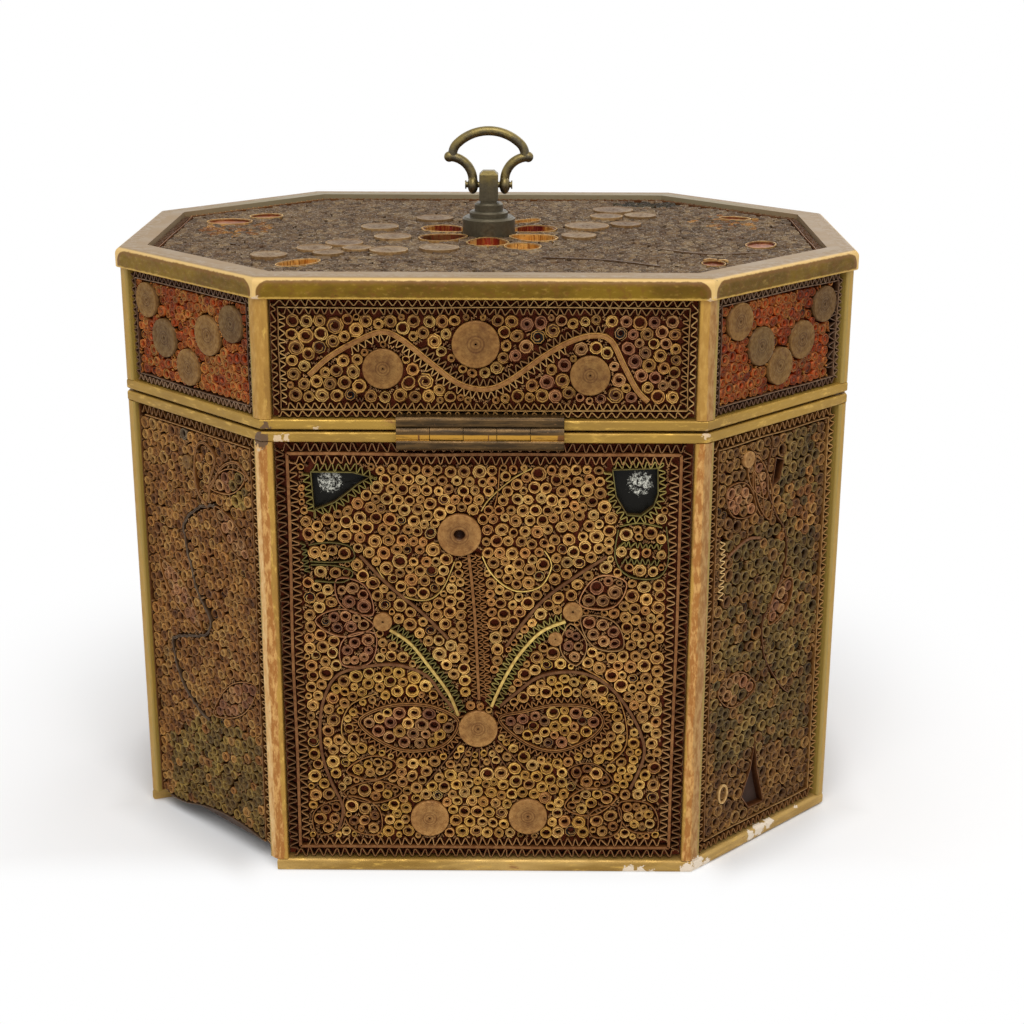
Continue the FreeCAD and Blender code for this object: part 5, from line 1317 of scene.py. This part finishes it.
backBody = {
    "rosettes": ((-5.4, 82.3, 4.8, "open"), (-1.4, 35.9, 4.4, "large"), (-12.6, 13.3, 4.4, "large"),
                 (10.0, 13.9, 4.4, "large"), (-22.6, 61.8, 2.1, "small"), (19.7, 64.4, 2.2, "small"),
                 (15.9, 57.9, 1.6, "small")),
    "middleStem": ((-3.4, 77.8), (-2.6, 70), (-1.9, 60), (-1.2, 43.1)),
    "paleStems": (((-21.0, 59.9), (-16.6, 56.7), (-12.3, 51.0), (-8.0, 44.6), (-5.9, 39.2)),
                  ((18.1, 62.1), (12.7, 59.6), (7.7, 53.9), (4.1, 47.4), (1.6, 41.4))),
    "leaves": (((-5.9, 37.6), (-11.6, 41.2), (-19.4, 41.7), (-25.6, 39.9), (-28.4, 37.2), (-24.4, 33.1),
                (-18.0, 30.3), (-9.4, 31.7)),
               ((3.4, 38.3), (9.0, 40.2), (16.1, 41.8), (24.0, 41.2), (27.0, 37.6), (23.4, 33.1),
                (16.3, 30.4), (9.3, 32.4))),
    "scrolls": (((-6.4, 40.4), (-9.4, 43.9), (-13.0, 48.9), (-19.4, 51.4), (-26.6, 51.0), (-33.0, 48.9),
                 (-36.2, 43.1), (-37.3, 36.0), (-36.9, 28.9), (-35.1, 22.4), (-32.6, 16.0), (-33.7, 10.3)),
                ((3.6, 41.6), (7.0, 44.6), (12.7, 48.9), (20.6, 49.9), (27.0, 47.4), (32.0, 41.7),
                 (35.6, 34.6), (36.3, 28.9), (33.4, 21.0))),
    "diagonals": (((-27.3, 77.4), (-21.0, 70.4), (-13.6, 63.8), (-8.0, 57.8)),
                  ((27.0, 77.4), (20.0, 72.6), (13.4, 67.4), (8.6, 61.6), (4.9, 56.0))),
    "lobes": (((-31.6, 25.0), (-19.8, 26.8), 6.0), ((-32.4, 19.6), (-18.9, 20.2), 5.6),
              ((-33.0, 17.6), (-38.6, 9.0), 7.4), ((-32.0, 18.6), (-24.4, 9.2), 8.2),
              ((29.6, 22.4), (19.0, 25.6), 6.6), ((30.4, 19.0), (18.4, 16.4), 7.0),
              ((30.8, 16.6), (25.0, 8.8), 8.0), ((31.0, 17.4), (39.8, 10.6), 8.0)),
    "petals": (((-24.6, 60.8), (-37.6, 62.0), 6.6), ((-24.4, 59.0), (-31.8, 51.4), 8.0),
               ((-24.8, 63.4), (-32.6, 71.8), 7.0), ((21.2, 66.2), (31.4, 71.4), 8.0),
               ((21.6, 63.2), (31.0, 55.6), 7.4), ((19.2, 61.6), (20.6, 51.4), 6.0)),
    "rays": (((-3.8, 31.4), (-6.4, 27.0)), ((-2.6, 31.0), (-3.6, 26.0)), ((-1.2, 31.0), (-1.0, 25.4)),
             ((0.4, 31.2), (2.0, 26.0)), ((1.6, 31.8), (5.0, 26.4)), ((3.0, 33.0), (9.6, 25.6)),
             ((-5.4, 32.6), (-13.6, 21.6))),
    "windows": (((-37.6, 96.6), (-28.5, 96.5), (-24.8, 95.5), (-27.8, 93.5), (-29.8, 91.8), (-32.5, 89.7), (-37.1, 87.8)),
                ((27.9, 97.3), (37.7, 97.7), (37.9, 91.8), (37.0, 89.0), (34.3, 86.8), (31.3, 87.0), (28.8, 91.2))),
    "greenZigzags": (((29.6, 80.4), (39.4, 79.6)), ((30.2, 76.4), (39.0, 76.0)), ((-39.8, 80.6), (-39.0, 73.0))),
    "loops": ((((-23.7, 74.6), (-20.6, 69.8), (-16.7, 67.4), (-12.3, 67.1), (-9.1, 69.8), (-6.5, 76.0)), "stem"),
              (((-0.4, 77.4), (1.2, 73.9), (4.4, 70.5), (8.2, 69.1), (12.7, 70.5), (14.9, 75.3), (13.3, 78.7)), "stem"),
              (((10.4, 97.6), (6.0, 95.0), (1.2, 90.6), (-0.6, 87.8)), "stem"),
              (((3.4, 97.8), (3.0, 92.0), (2.2, 88.6)), "brown"),
              (((29.4, 83.6), (28.8, 77.6), (30.8, 73.6), (34.5, 72.2), (38.8, 72.8), (40.6, 77.0), (39.9, 84.4)), "green"),
              (((29.6, 84.4), (34.0, 85.2), (39.0, 84.2)), "green"),
              (((-38.6, 79.8), (-34.0, 80.4), (-29.4, 79.4), (-28.8, 76.4), (-33.6, 75.8), (-38.4, 76.0)), "green"),
              (((-38.2, 75.2), (-33.0, 75.0), (-29.0, 73.6), (-31.0, 71.2), (-37.4, 71.4)), "green"),
              (((22.0, 51.0), (28.0, 47.0), (31.6, 40.0), (32.2, 32.0), (28.6, 27.4)), "brown"),
              (((-24.0, 44.6), (-30.4, 41.4), (-32.4, 34.6), (-28.6, 29.0)), "brown")),
}


def backPanel():
    job, corners = bodyJob("back", 11, "ochre")
    facts = backBody
    drawBorder(job, corners)
    for x, y, radius, kind in facts["rosettes"]:
        addRosette(job, x, y, radius, kind)
    stem = addStrip(job, facts["middleStem"], "strip", thick=True)
    for side in (-1.0, 1.0, 2.1):
        addCrimp(job, stem, side, 1.3, 1.2, "strip")
    for points in facts["paleStems"]:
        stem = addStrip(job, points, "stem", thick=True, rise=0.1)
        for side in (-1.2, 1.2):
            addCrimp(job, stem, side, 1.35, 1.5, "green")
    for points in facts["leaves"]:
        outline = addStrip(job, points, "strip", closed=True, double=0.42)
        addCrimp(job, outline, -1.15 if points[0][0] < 0 else 1.15, 1.4, 1.1, "strip")
        job["zones"].append((outline, "plum", 0.8))
    for points in facts["scrolls"]:
        addStrip(job, points, "darkStem", thick=True)
    for points in facts["diagonals"]:
        addStrip(job, points, "darkStem", thick=True)
    job["zones"].append(([(-40, 8), (40, 8), (40, 30), (20, 52), (-24, 52), (-40, 30)], "yellow", 0.5))
    job["zones"].append((ellipse(-25, 48, 11, 5), "yellow", 0.8))
    for start, tip, width in facts["lobes"]:
        outline = addStrip(job, leafOutline(start, tip, width), "strip", closed=True)
        job["zones"].append((outline, "brown", 0.6))
    for start, tip, width in facts["petals"]:
        outline = addStrip(job, leafOutline(start, tip, width), "plum", closed=True)
        job["zones"].append((outline, "plum", 1.0))
    for points in facts["rays"]:
        addStrip(job, points, "darkStem", smooth=False)
    for window in facts["windows"]:
        outline = addStrip(job, window + window[:1], "green", smooth=False)
        job["windows"].append(window)
        layFoil(job, window, "mica", 0.5, "mica_%d" % len(job["windows"]), "mica_inserts")
        out = 1.1 if insideOf(besidePath(outline, -1.1)[2:3], window)[0] else -1.1
        addCrimp(job, outline, out, 1.6, 1.5, "green")
    for points in facts["greenZigzags"]:
        addCrimp(job, smoothPath(points), 0, 1.3, 1.1, "green")
    for points, tint in facts["loops"]:
        addStrip(job, points, tint)
    finishPanel(job, corners)


backPanel()


# The cut corners beside it

leftCant = {
    "stem": ((5.8, 84.6), (-0.6, 82.4), (-6.0, 78.1), (-6.7, 74.6), (-5.6, 70.3), (-4.2, 66.0), (-2.8, 61.7),
             (1.9, 55.3), (-0.3, 51.4), (-7.8, 48.9), (-13.5, 46.7), (-13.1, 41.7), (-10.6, 36.0), (-4.2, 31.0),
             (-0.3, 29.6)),
    "leaves": (((4.4, 88.5), (17.9, 93.9), 5.6), ((5.8, 84.2), (18.0, 73.9), 6.4), ((-1.9, 51.7), (-17.4, 66.0), 7.0),
               ((1.5, 31.7), (18.7, 43.9), 7.4)),
    "mossZone": ((-17, 3), (20, 3), (20, 29), (4, 31), (-3, 30), (-17, 20)),
    "greyPatch": (-4.9, 98.9, 2.4, 2.2), "edgeStrip": -22.2,
    "arcs": (((3.4, 83.2), (-0.5, 86.4), (-1.4, 91.7), (0.1, 97.3), (3.4, 98.5), (6.8, 95.6), (4.6, 90.3), (3.6, 84.6)),
             ((4.8, 88.4), (9.2, 94.1), (15.0, 96.4), (19.6, 93.3))),
}


wornEdge = {"crown": 6.2, "radius": 60.0, "middle": 6.08}   # the paper's worn lower edge, a low curve


def arch(job, corners):
    # the panel's outline with the worn curve for its lower side, from left to right
    job["discs"].append((wornEdge["middle"], wornEdge["crown"] - wornEdge["radius"], wornEdge["radius"] + 0.2))
    across = np.linspace(corners[0][0], corners[1][0], 13)
    drop = wornEdge["radius"] - np.sqrt(wornEdge["radius"] ** 2 - (across - wornEdge["middle"]) ** 2)
    return [(x, max(corners[0][1], wornEdge["crown"] - fall)) for x, fall in zip(across, drop)]


def leftPanel():
    job, corners = bodyJob("back_left", 23, "brown", 1.34)
    job["weights"] = (0.06, 0.26, 0.38, 0.30)
    facts = leftCant
    outline = arch(job, corners)
    drawBorder(job, corners, skip=(0, 3))
    # a strip along the worn edge: the frayed paper edge, tinted dark as painted shade
    addStrip(job, [(x, y + 0.25) for x, y in outline[1:-1]], "inkStem")
    addStrip(job, [(facts["edgeStrip"], corners[0][1] + 0.4), (facts["edgeStrip"], corners[2][1] - 0.4)], "darkStem")
    addRosette(job, -3.8, 92.8, 1.6, "small", "greyRosette")
    stem = smoothPath(facts["stem"])
    stem[1:-1] += job["rng"].normal(0, 0.16, (len(stem) - 2, 2))
    addStrip(job, stem, "inkStem", smooth=False, double=0.34)
    for points in facts["arcs"]:
        addStrip(job, points, "strip", double=0.34)
    for start, tip, width in facts["leaves"]:
        leaf = addStrip(job, leafOutline(start, tip, width), "strip", closed=True)
        job["zones"].append((leaf, "plum", 0.9))
    job["zones"].append((facts["mossZone"], "moss", 0.85))
    job["zones"].append((ellipse(*facts["greyPatch"]), "slate", 1.0))
    job["zones"].append((ellipse(15.4, 90, 4.6, 4), "moss", 0.8))
    finishPanel(job, corners, (0, 3), outline + corners[2:])


rightCant = {
    "stem": ((-1.0, 98.0), (-2.4, 90.0), (1.2, 82.0), (5.6, 76.0), (6.2, 68.0), (2.2, 60.4), (-1.4, 56.0),
             (-1.0, 50.0), (0.8, 45.0), (7.0, 37.0), (10.0, 34.6)),
    "leaves": (((-6.0, 83.6), (-16.6, 91.0), 8.0), ((-2.0, 86.0), (-9.0, 97.4), 6.0), ((1.0, 54.4), (9.0, 64.0), 7.0),
               ((-3.0, 40.0), (-17.0, 42.6), 8.6)),
    "oliveZone": ((-18, 22), (-6, 24), (6, 22), (18, 18), (18, 100), (4, 100), (2, 80), (-18, 78)),
    "goldZone": ((3, 74), (18, 74), (18, 90), (3, 88)),
    "paleZigzag": ((-17.3, 79.6), (-17.0, 72.0), (-17.4, 64.8)),
    "hole": ((-6.6, 12.6), (-3.6, 19.0), (-2.2, 25.4), (-1.0, 18.0), (2.0, 8.6), (-3.6, 8.8)),
    "paleRing": (-13.6, 15.8, 1.5, 2.2), "buds": (((-6.6, 97.0), (-0.6, 80.6), 5.4), ((-7.4, 93.6), (-3.4, 82.0), 3.0)),
    "hollow": ((-15.6, 75.0), (-9.0, 77.6), (-4.0, 77.0)),
    "slot": ((0.6, 95.0), (3.6, 94.0), (2.4, 89.6), (-0.4, 88.2)),
}


def rightPanel():
    job, corners = bodyJob("back_right", 37, "tan", 1.5)
    job["weights"] = (0.02, 0.14, 0.42, 0.42)
    facts = rightCant
    drawBorder(job, corners)
    addRosette(job, -9.5, 96.7, 1.9, "small", "rosette")
    for start, tip, width in facts["leaves"]:
        outline = addStrip(job, leafOutline(start, tip, width), "strip", closed=True)
        job["zones"].append((outline, "plum", 0.9))
    job["zones"].insert(0, (facts["goldZone"], "brown", 0.6))
    job["zones"].insert(0, (facts["oliveZone"], "olive", 0.85))
    addStrip(job, facts["stem"], "darkStem")
    for hole in (facts["hole"], facts["slot"]):
        addStrip(job, hole + hole[:1], "darkStem", smooth=False)
        job["windows"].append(hole)
        layFoil(job, list(hole), "holeFloor", 0.3, "hole_%d" % len(job["windows"]))
    for start, tip, width in facts["buds"]:
        addStrip(job, leafOutline(start, tip, width), "strip", closed=True)
    addStrip(job, facts["hollow"], "darkStem", thick=True)
    addStrip(job, ellipse(*facts["paleRing"]), "pale", closed=True, double=0.3)
    addCrimp(job, smoothPath(facts["paleZigzag"]), 0, 1.5, 1.7, "pale")
    finishPanel(job, corners)


leftPanel()
rightPanel()


# The other body panels carry the same kind of spray

spray = {
    "front": {"seed": 41, "heart": (0, 35.9, 4.6), "feet": ((-12.0, 13.8, 4.35), (12.0, 13.8, 4.35)),
              "buds": ((-21.6, 63.6, 2.2), (21.6, 63.6, 2.2)), "crown": None, "reach": 1.0},
}
for face, seed in (("right", 43), ("left", 47)):
    spray[face] = {"seed": seed, "heart": (0, 36.0, 4.35), "feet": ((-12.06, 14.8, 3.5), (12.06, 14.8, 3.5)),
                   "buds": (), "crown": (0, 80.6, 4.35), "reach": 0.26}
for face, seed in (("front_right", 53), ("front_left", 59)):
    spray[face] = {"seed": seed, "heart": (0, 26.5, 2.6), "feet": (), "buds": (),
                   "crown": (0, 84.8, 2.6), "reach": 0.2}


def sprayPanel(face):
    facts = spray[face]
    job, corners = bodyJob(face, facts["seed"], "ochre" if face == "front" else "brown")
    drawBorder(job, corners)
    x, y, radius = facts["heart"]
    reach = facts["reach"]
    addRosette(job, x, y, radius)
    for foot in facts["feet"]:
        addRosette(job, *foot)
    for bud in facts["buds"]:
        addRosette(job, *bud, "small")
    if facts["crown"]:
        addRosette(job, *facts["crown"], "large" if facts["crown"][2] > 3 else "small")
    if face == "front":
        job["discs"].append((0, 91.5, 5.6))       # the escutcheon's place
    else:
        top = facts["crown"][1] - facts["crown"][2] - 0.3
        points = ((x, y + radius + 0.3), (x + 0.8, (y + top) / 2), (facts["crown"][0], top))
        stem = addStrip(job, points, "strip", thick=True)
        for side in (-1.1, 1.1):
            addCrimp(job, stem, side, 1.5, 1.4, "green")
    for way in (-1, 1):
        leaf = leafOutline((x + way * (radius + 0.8), y), (x + way * (9 + 20 * reach), y + 1.5), 5 + 7 * reach)
        outline = addStrip(job, leaf, "strip", closed=True)
        job["zones"].append((outline, "plum", 0.7))
        scroll = [(x + way * 4, y + 8), (x + way * (8 + 12 * reach), y + 15), (x + way * (11 + 26 * reach), y + 10)]
        if face == "front":
            scroll += [(way * 36.5, 30), (way * 34, 16)]
            points = ((way * 4, 41.6), (way * 9, 50), (way * 14, 57), (way * 19.6, 61.6))
            pale = addStrip(job, points, "stem", thick=True)
            for side in (-1.2, 1.2):
                addCrimp(job, pale, side, 1.35, 1.5, "green")
            for angle in (0.3, 1.2, 2.1):
                tip = (way * (21.6 + 11 * math.cos(angle)), 63.6 + 11 * math.sin(angle))
                start = (way * (21.6 + 3 * math.cos(angle)), 63.6 + 3 * math.sin(angle))
                petal = addStrip(job, leafOutline(start, tip, 6.6), "plum", closed=True)
                job["zones"].append((petal, "plum", 1.0))
        addStrip(job, scroll, "darkStem", thick=True)
        for height in (58, 70):
            if face != "front":
                bud = leafOutline((x + way * 2.6, height - 4), (x + way * (8 + 16 * reach), height + 5), 6)
                petal = addStrip(job, bud, "plum", closed=True)
                job["zones"].append((petal, "olive" if height == 58 else "plum", 0.8))
    half = job["space"]["half"]
    foot = [(-half, 4), (half, 4), (half, 30), (-half, 30)]
    job["zones"].insert(0, (foot, "yellow" if face == "front" else "olive", 0.5))
    finishPanel(job, corners)


for face in spray:
    sprayPanel(face)


# Lid panels: wavy scrolls on the long and short sides, five rosettes in rust on the cut corners

lidScroll = ((-37.3, 118.1), (-33.0, 122.0), (-27.3, 125.4), (-21.6, 127.6), (-17.3, 125.9), (-10.9, 120.6),
             (-5.1, 116.3), (0.6, 115.2), (5.6, 117.2), (12.7, 122.4), (18.4, 125.7), (23.4, 127.0),
             (27.0, 125.9), (29.9, 120.4), (32.7, 115.2), (35.2, 112.6))
lidRosettes = {
    "long": ((-1.7, 125.0, 5.1), (-21.5, 119.6, 4.35), (22.7, 118.3, 4.3)),
    "short": ((0.0, 125.1, 4.8), (-14.7, 119.4, 3.9), (14.7, 119.4, 3.9)),
    "left": ((-16.4, 128.4, 4.0), (-10.1, 120.6, 4.4), (-1.3, 115.3, 4.15), (6.5, 123.8, 4.5), (15.3, 127.7, 4.1)),
    "right": ((-14.6, 128.6, 4.15), (-6.8, 122.0, 4.3), (0.2, 116.4, 4.25), (7.9, 121.2, 4.35), (15.7, 128.2, 4.1)),
}
lidGrounds = {   # tint and size of the coils
    "long": ("lidOchre", 1.58), "short": ("lidOchre", 1.58), "left": ("rust", 1.26), "right": ("darkRust", 1.26),
}
lidDesigns = {
    "back": (61, "long"), "back_right": (67, "right"), "right": (71, "short"), "front_right": (73, "left"),
    "front": (79, "long"), "front_left": (83, "right"), "left": (89, "short"), "back_left": (97, "left"),
}


def lidPanel(face):
    seed, kind = lidDesigns[face]
    rosettes = lidRosettes[kind]
    ground, size = lidGrounds[kind]
    job, corners = lidJob(face, seed, ground, size)
    if kind in ("left", "right"):
        # painted glow: the lower half of these coils is tinted orange-red at 2.4 times full strength
        job["deepTint"], job["scraps"] = tintValues["ember"][0] * 2.4, "rust"
    else:
        job["weights"] = (0.30, 0.38, 0.20, 0.12)
        job["zones"].append(([(6, 108), (44, 108), (44, 136), (6, 136)], "plum", 0.4))
    drawBorder(job, corners)
    if kind == "right":
        addCrimp(job, borderRun(job, corners, 3.1)[1], 0, 2.2, 2.2, "dirtyBorder")
    for x, y, radius in rosettes:
        addRosette(job, x, y, radius, "large", "greyRosette" if kind in ("left", "right") else "lidRosette")
    if kind in ("long", "short"):
        squeeze = 1.0 if kind == "long" else 0.5
        path = addStrip(job, [(x * squeeze, y) for x, y in lidScroll], "strip", thick=True, rise=0.05)
        for side in (-0.46, 0.46):
            addStrip(job, besidePath(path, side), "brown", smooth=False)
        for side, first, last in ((1.35, -15, 26), (-1.35, -30, 18)):
            near = (path[:, 0] > first * squeeze) & (path[:, 0] < last * squeeze)
            addCrimp(job, path[near], side, 1.6, 1.5, "lidZigzag")
    finishPanel(job, corners)


for face in lidDesigns:
    lidPanel(face)


# The lid's top

topPanel = {
    "rosettes": ((-22.7, -7.2, 4.2), (-11.0, -22.2, 4.4), (-26.8, 7.2, 4.4), (-33.4, -16.1, 4.2), (-39.6, -23.3, 3.9),
                 (-35.9, -28.9, 3.3), (-29.9, -23.0, 3.1), (-22.4, -25.4, 4.2), (-14.0, 21.1, 4.4), (31.6, 35.0, 5.0),
                 (38.1, 26.4, 3.9), (29.4, 24.6, 3.9), (33.7, 12.6, 3.6), (24.0, 9.5, 5.2), (21.6, -4.6, 4.0),
                 (-49.0, -32.2, 3.9)),
    "cells": ((-65.0, 16.0, 5.6, 4.2, "brownFoil"), (-57.0, 25.0, 4.2, 3.4, "brownFoil"), (-41.4, -40.4, 5.8, 3.2, "goldFoil"),
              (63.8, -15.0, 5.0, 3.4, "brownFoil"), (50.4, -39.6, 3.4, 2.6, "brownFoil"),
              (8.2, -18.4, 4.6, 4.2, "goldFoil"), (9.2, 18.6, 2.2, 4.6, "goldFoil"), (62.0, 24.0, 4.0, 2.6, "brownFoil")),
    "curves": (((12.7, -33.0), (27.1, -36.4), (38.2, -43.6)), ((40, -22), (50, -28), (62, -26))),
    "flakes": (((48.6, -36.4), (49.8, -35.2), (51.4, -36.0)), ((51.8, -37.0), (53.0, -36.2), (53.6, -37.4))),
    "petalReach": (9.0, 13.4), "petalSizes": (2.8, 5.0), "petals": 6,
    "petalFoils": ("redFoil", "goldFoil", "redFoil", "goldFoil", "redFoil", "brownFoil"),
    "petalFloors": ("goldFoil", "goldFoil", "goldFoil", "brownFoil", "goldFoil", "brownFoil"),
    "rose": 6.5,
}


def petalOutline(turn):
    # two round ends and their tangents, as the cell in the frame
    inner, outer = topPanel["petalReach"]
    small, large = topPanel["petalSizes"]
    lean = math.asin((large - small) / (outer - inner))
    points = []
    for k in range(9):
        angle = -lean + (math.pi + 2 * lean) * k / 8
        points.append((math.cos(angle) * large, outer + math.sin(angle) * large))
    for k in range(6):
        angle = math.pi + lean + (math.pi - 2 * lean) * k / 5
        points.append((math.cos(angle) * small, inner + math.sin(angle) * small))
    cosine, sine = math.cos(turn), math.sin(turn)
    return [(x * cosine - y * sine, x * sine + y * cosine) for x, y in points]


def lineWith(job, outline, kind, name, beyond=0.0):
    # a band of leaf-covered paper round the inside of a cell, or only its two ends
    middle = np.mean(outline, axis=0)
    wide = np.ptp(np.array(outline)[:, 0]) / 2
    path = [tuple(middle + (np.array(p) - middle) * (0.93 - 0.05 * (beyond > 0))) for p in outline]
    paths = [path + path[:1]]
    if beyond:
        fine = np.array(smoothPath(path, closed=True, step=0.6))
        paths = [fine[side * (fine[:, 0] - middle[0]) > wide * beyond] for side in (-1, 1)]
        paths = [part[np.argsort(part[:, 1])[::-1]][: len(part) // 2] for part in paths]
    piece = standStrips(name, [(part, 0.4, (1, 1, 1)) for part in paths], 0.16, 1.7, 2.3)
    finishPiece(job, piece, name, materials[kind])


def topWork():
    facts = topPanel
    low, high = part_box("lid_top_quillwork")
    points = [v.co for v in frame["nodes"]["lid_top_quillwork"].data.vertices]
    wide, deep = high.x / mm, high.y / mm
    slant = max(p.x + p.y for p in points) / mm
    corners = [(slant - deep, -deep), (wide, -(slant - wide)), (wide, slant - wide), (slant - deep, deep),
               (-(slant - deep), deep), (-wide, slant - wide), (-wide, -(slant - wide)), (-(slant - deep), -deep)]
    matrix = Matrix.Translation((0, 0, low.z)) @ Matrix.Scale(mm, 4)
    space = {"matrix": matrix, "half": wide, "low": -deep, "high": deep}
    job = startJob("quill_lid_top", "lid_top_quillwork", "lid", space, 101, quill["topBorder"], 1.12)
    job.update(ground="dust", scraps="dust", shapes=fineShapes, weights=(0.6, 0.4), parts=3)
    drawBorder(job, corners)
    for x, y, radius in facts["rosettes"]:
        addRosette(job, x, y, radius, "large", "dustRosette")
        addStrip(job, ellipse(x, y, radius + 0.1, radius + 0.1), "discRim", closed=True, rise=0.36)
    job["discs"].append((0, 0, facts["rose"]))
    for k in range(facts["petals"]):
        outline = petalOutline(math.pi + 2 * math.pi * k / facts["petals"])
        addStrip(job, outline + outline[:1], "pale", smooth=False)
        job["windows"].append(outline)
        layFoil(job, outline, facts["petalFloors"][k], 0.5, "petal_foil_%d" % k)
        lineWith(job, outline, facts["petalFoils"][k], "petal_lining_%d" % k)
        if facts["petalFoils"][k] == "redFoil":
            lineWith(job, outline, "goldFoil", "petal_gold_%d" % k, 0.55)
    for k, (x, y, wideCell, highCell, kind) in enumerate(facts["cells"]):
        outline = [tuple(p) for p in ellipse(x, y, wideCell, highCell, 0.4 * k)]
        addStrip(job, outline, "pale", closed=True)
        job["windows"].append(outline)
        floor, level = ("rustFoil", 1.7) if kind == "brownFoil" else (kind, 0.9)
        layFoil(job, outline, floor, level, "cell_foil_%d" % k)
        lineWith(job, outline, kind, "cell_lining_%d" % k)
    for points in facts["curves"]:
        addStrip(job, points, "faint", thick=True)
    for points in facts["flakes"]:
        addStrip(job, points, "pale", thick=True, rise=0.15)
    job["zones"].append((ellipse(41.6, 47.2, 9, 5), "deepGreen", 1.0))
    job["zones"].append((ellipse(-62, 6, 9, 12), "brown", 0.5))
    job["zones"].append((ellipse(60, 18, 10, 12), "brown", 0.4))
    finishPanel(job, corners)


topWork()


# Floor and light

def seenDirectly(tree, path):
    # rays that reach the eye straight, or by way of metal and glass
    mirrored = sums(tree, "MAXIMUM", path["Is Glossy Ray"], path["Is Transmission Ray"])
    return sums(tree, "MAXIMUM", path["Is Camera Ray"], mirrored)


def layFloor():
    bpy.ops.mesh.primitive_plane_add(size=studio["floorSize"], location=(0, 0, cadBox[0].z - 0.00005))
    floor = bpy.context.active_object
    floor.name = "studio_floor"
    material = bpy.data.materials.new("paleFloor")
    material.use_nodes = True
    tree = material.node_tree
    tree.nodes.remove(tree.nodes["Principled BSDF"])
    matt = addNode(tree, "ShaderNodeBsdfDiffuse", {"Color": (0.93, 0.93, 0.93, 1)}).outputs[0]
    white = addNode(tree, "ShaderNodeEmission", {"Color": (1, 1, 1, 1), "Strength": 1.0}).outputs[0]
    where = addNode(tree, "ShaderNodeTexCoord").outputs["Object"]
    away = addNode(tree, "ShaderNodeVectorMath", {0: where}, operation="LENGTH").outputs["Value"]
    share = ease(tree, away, studio["shadowReach"], studio["whiteFrom"])
    front = ease(tree, splitUp(tree, where)[1], *studio["frontWhite"], 1.0, 0.0)
    x, y = (sums(tree, "ABSOLUTE", part) for part in splitUp(tree, where)[:2])
    slant = (gilding["wide"] - gilding["cant"] + gilding["deep"]) * mm
    beside = sums(tree, "MULTIPLY", sums(tree, "SUBTRACT", sums(tree, "ADD", x, y), slant), math.sqrt(0.5))
    for part, half in ((x, gilding["wide"]), (y, gilding["deep"])):
        beside = sums(tree, "MAXIMUM", beside, sums(tree, "SUBTRACT", part, half * mm))
    # painted shadow: a darker floor grey close beside the cut corners, kept clear of the white in front
    close = ease(tree, beside, *studio["cantShadow"], 1.0, 0.0)
    near = sums(tree, "MULTIPLY", ease(tree, x, *studio["cantFrom"]), close)
    front = sums(tree, "MULTIPLY", front, sums(tree, "SUBTRACT", 1.0, near))
    grey = addNode(tree, "ShaderNodeCombineColor", {"Red": 0.93, "Green": 0.93, "Blue": 0.93}).outputs[0]
    shade = {k: studio["contact"] for k in ("Red", "Green", "Blue")}
    dark = addNode(tree, "ShaderNodeCombineColor", shade).outputs[0]
    tree.links.new(mixed(tree, near, grey, dark), matt.node.inputs["Color"])
    share = sums(tree, "MAXIMUM", share, front)
    path = addNode(tree, "ShaderNodeLightPath").outputs
    seen = seenDirectly(tree, path)
    share = sums(tree, "MULTIPLY", share, seen)
    both = addNode(tree, "ShaderNodeMixShader", {0: share, 1: matt, 2: white}).outputs[0]
    tree.links.new(both, tree.nodes["Material Output"].inputs["Surface"])
    floor.data.materials.append(material)


def lightScene():
    world = bpy.data.worlds.new("whiteStudio")
    world.use_nodes = True
    bpy.context.scene.world = world
    tree = world.node_tree
    path = addNode(tree, "ShaderNodeLightPath").outputs
    seen = seenDirectly(tree, path)
    strength = sums(tree, "MULTIPLY_ADD", seen, 1 - studio["fill"], studio["fill"])
    tree.links.new(strength, tree.nodes["Background"].inputs["Strength"])
    tree.nodes["Background"].inputs["Color"].default_value = (1, 1, 1, 1)
    softbox("keySoftbox", studio["keyPlace"], studio["keySize"], studio["key"])
    softbox("rimSoftbox", studio["rimPlace"], studio["rimSize"], studio["rim"])


layFloor()
lightScene()
aimCamera()
bpy.context.scene.view_settings.view_transform = "Standard"
print("studio ready")
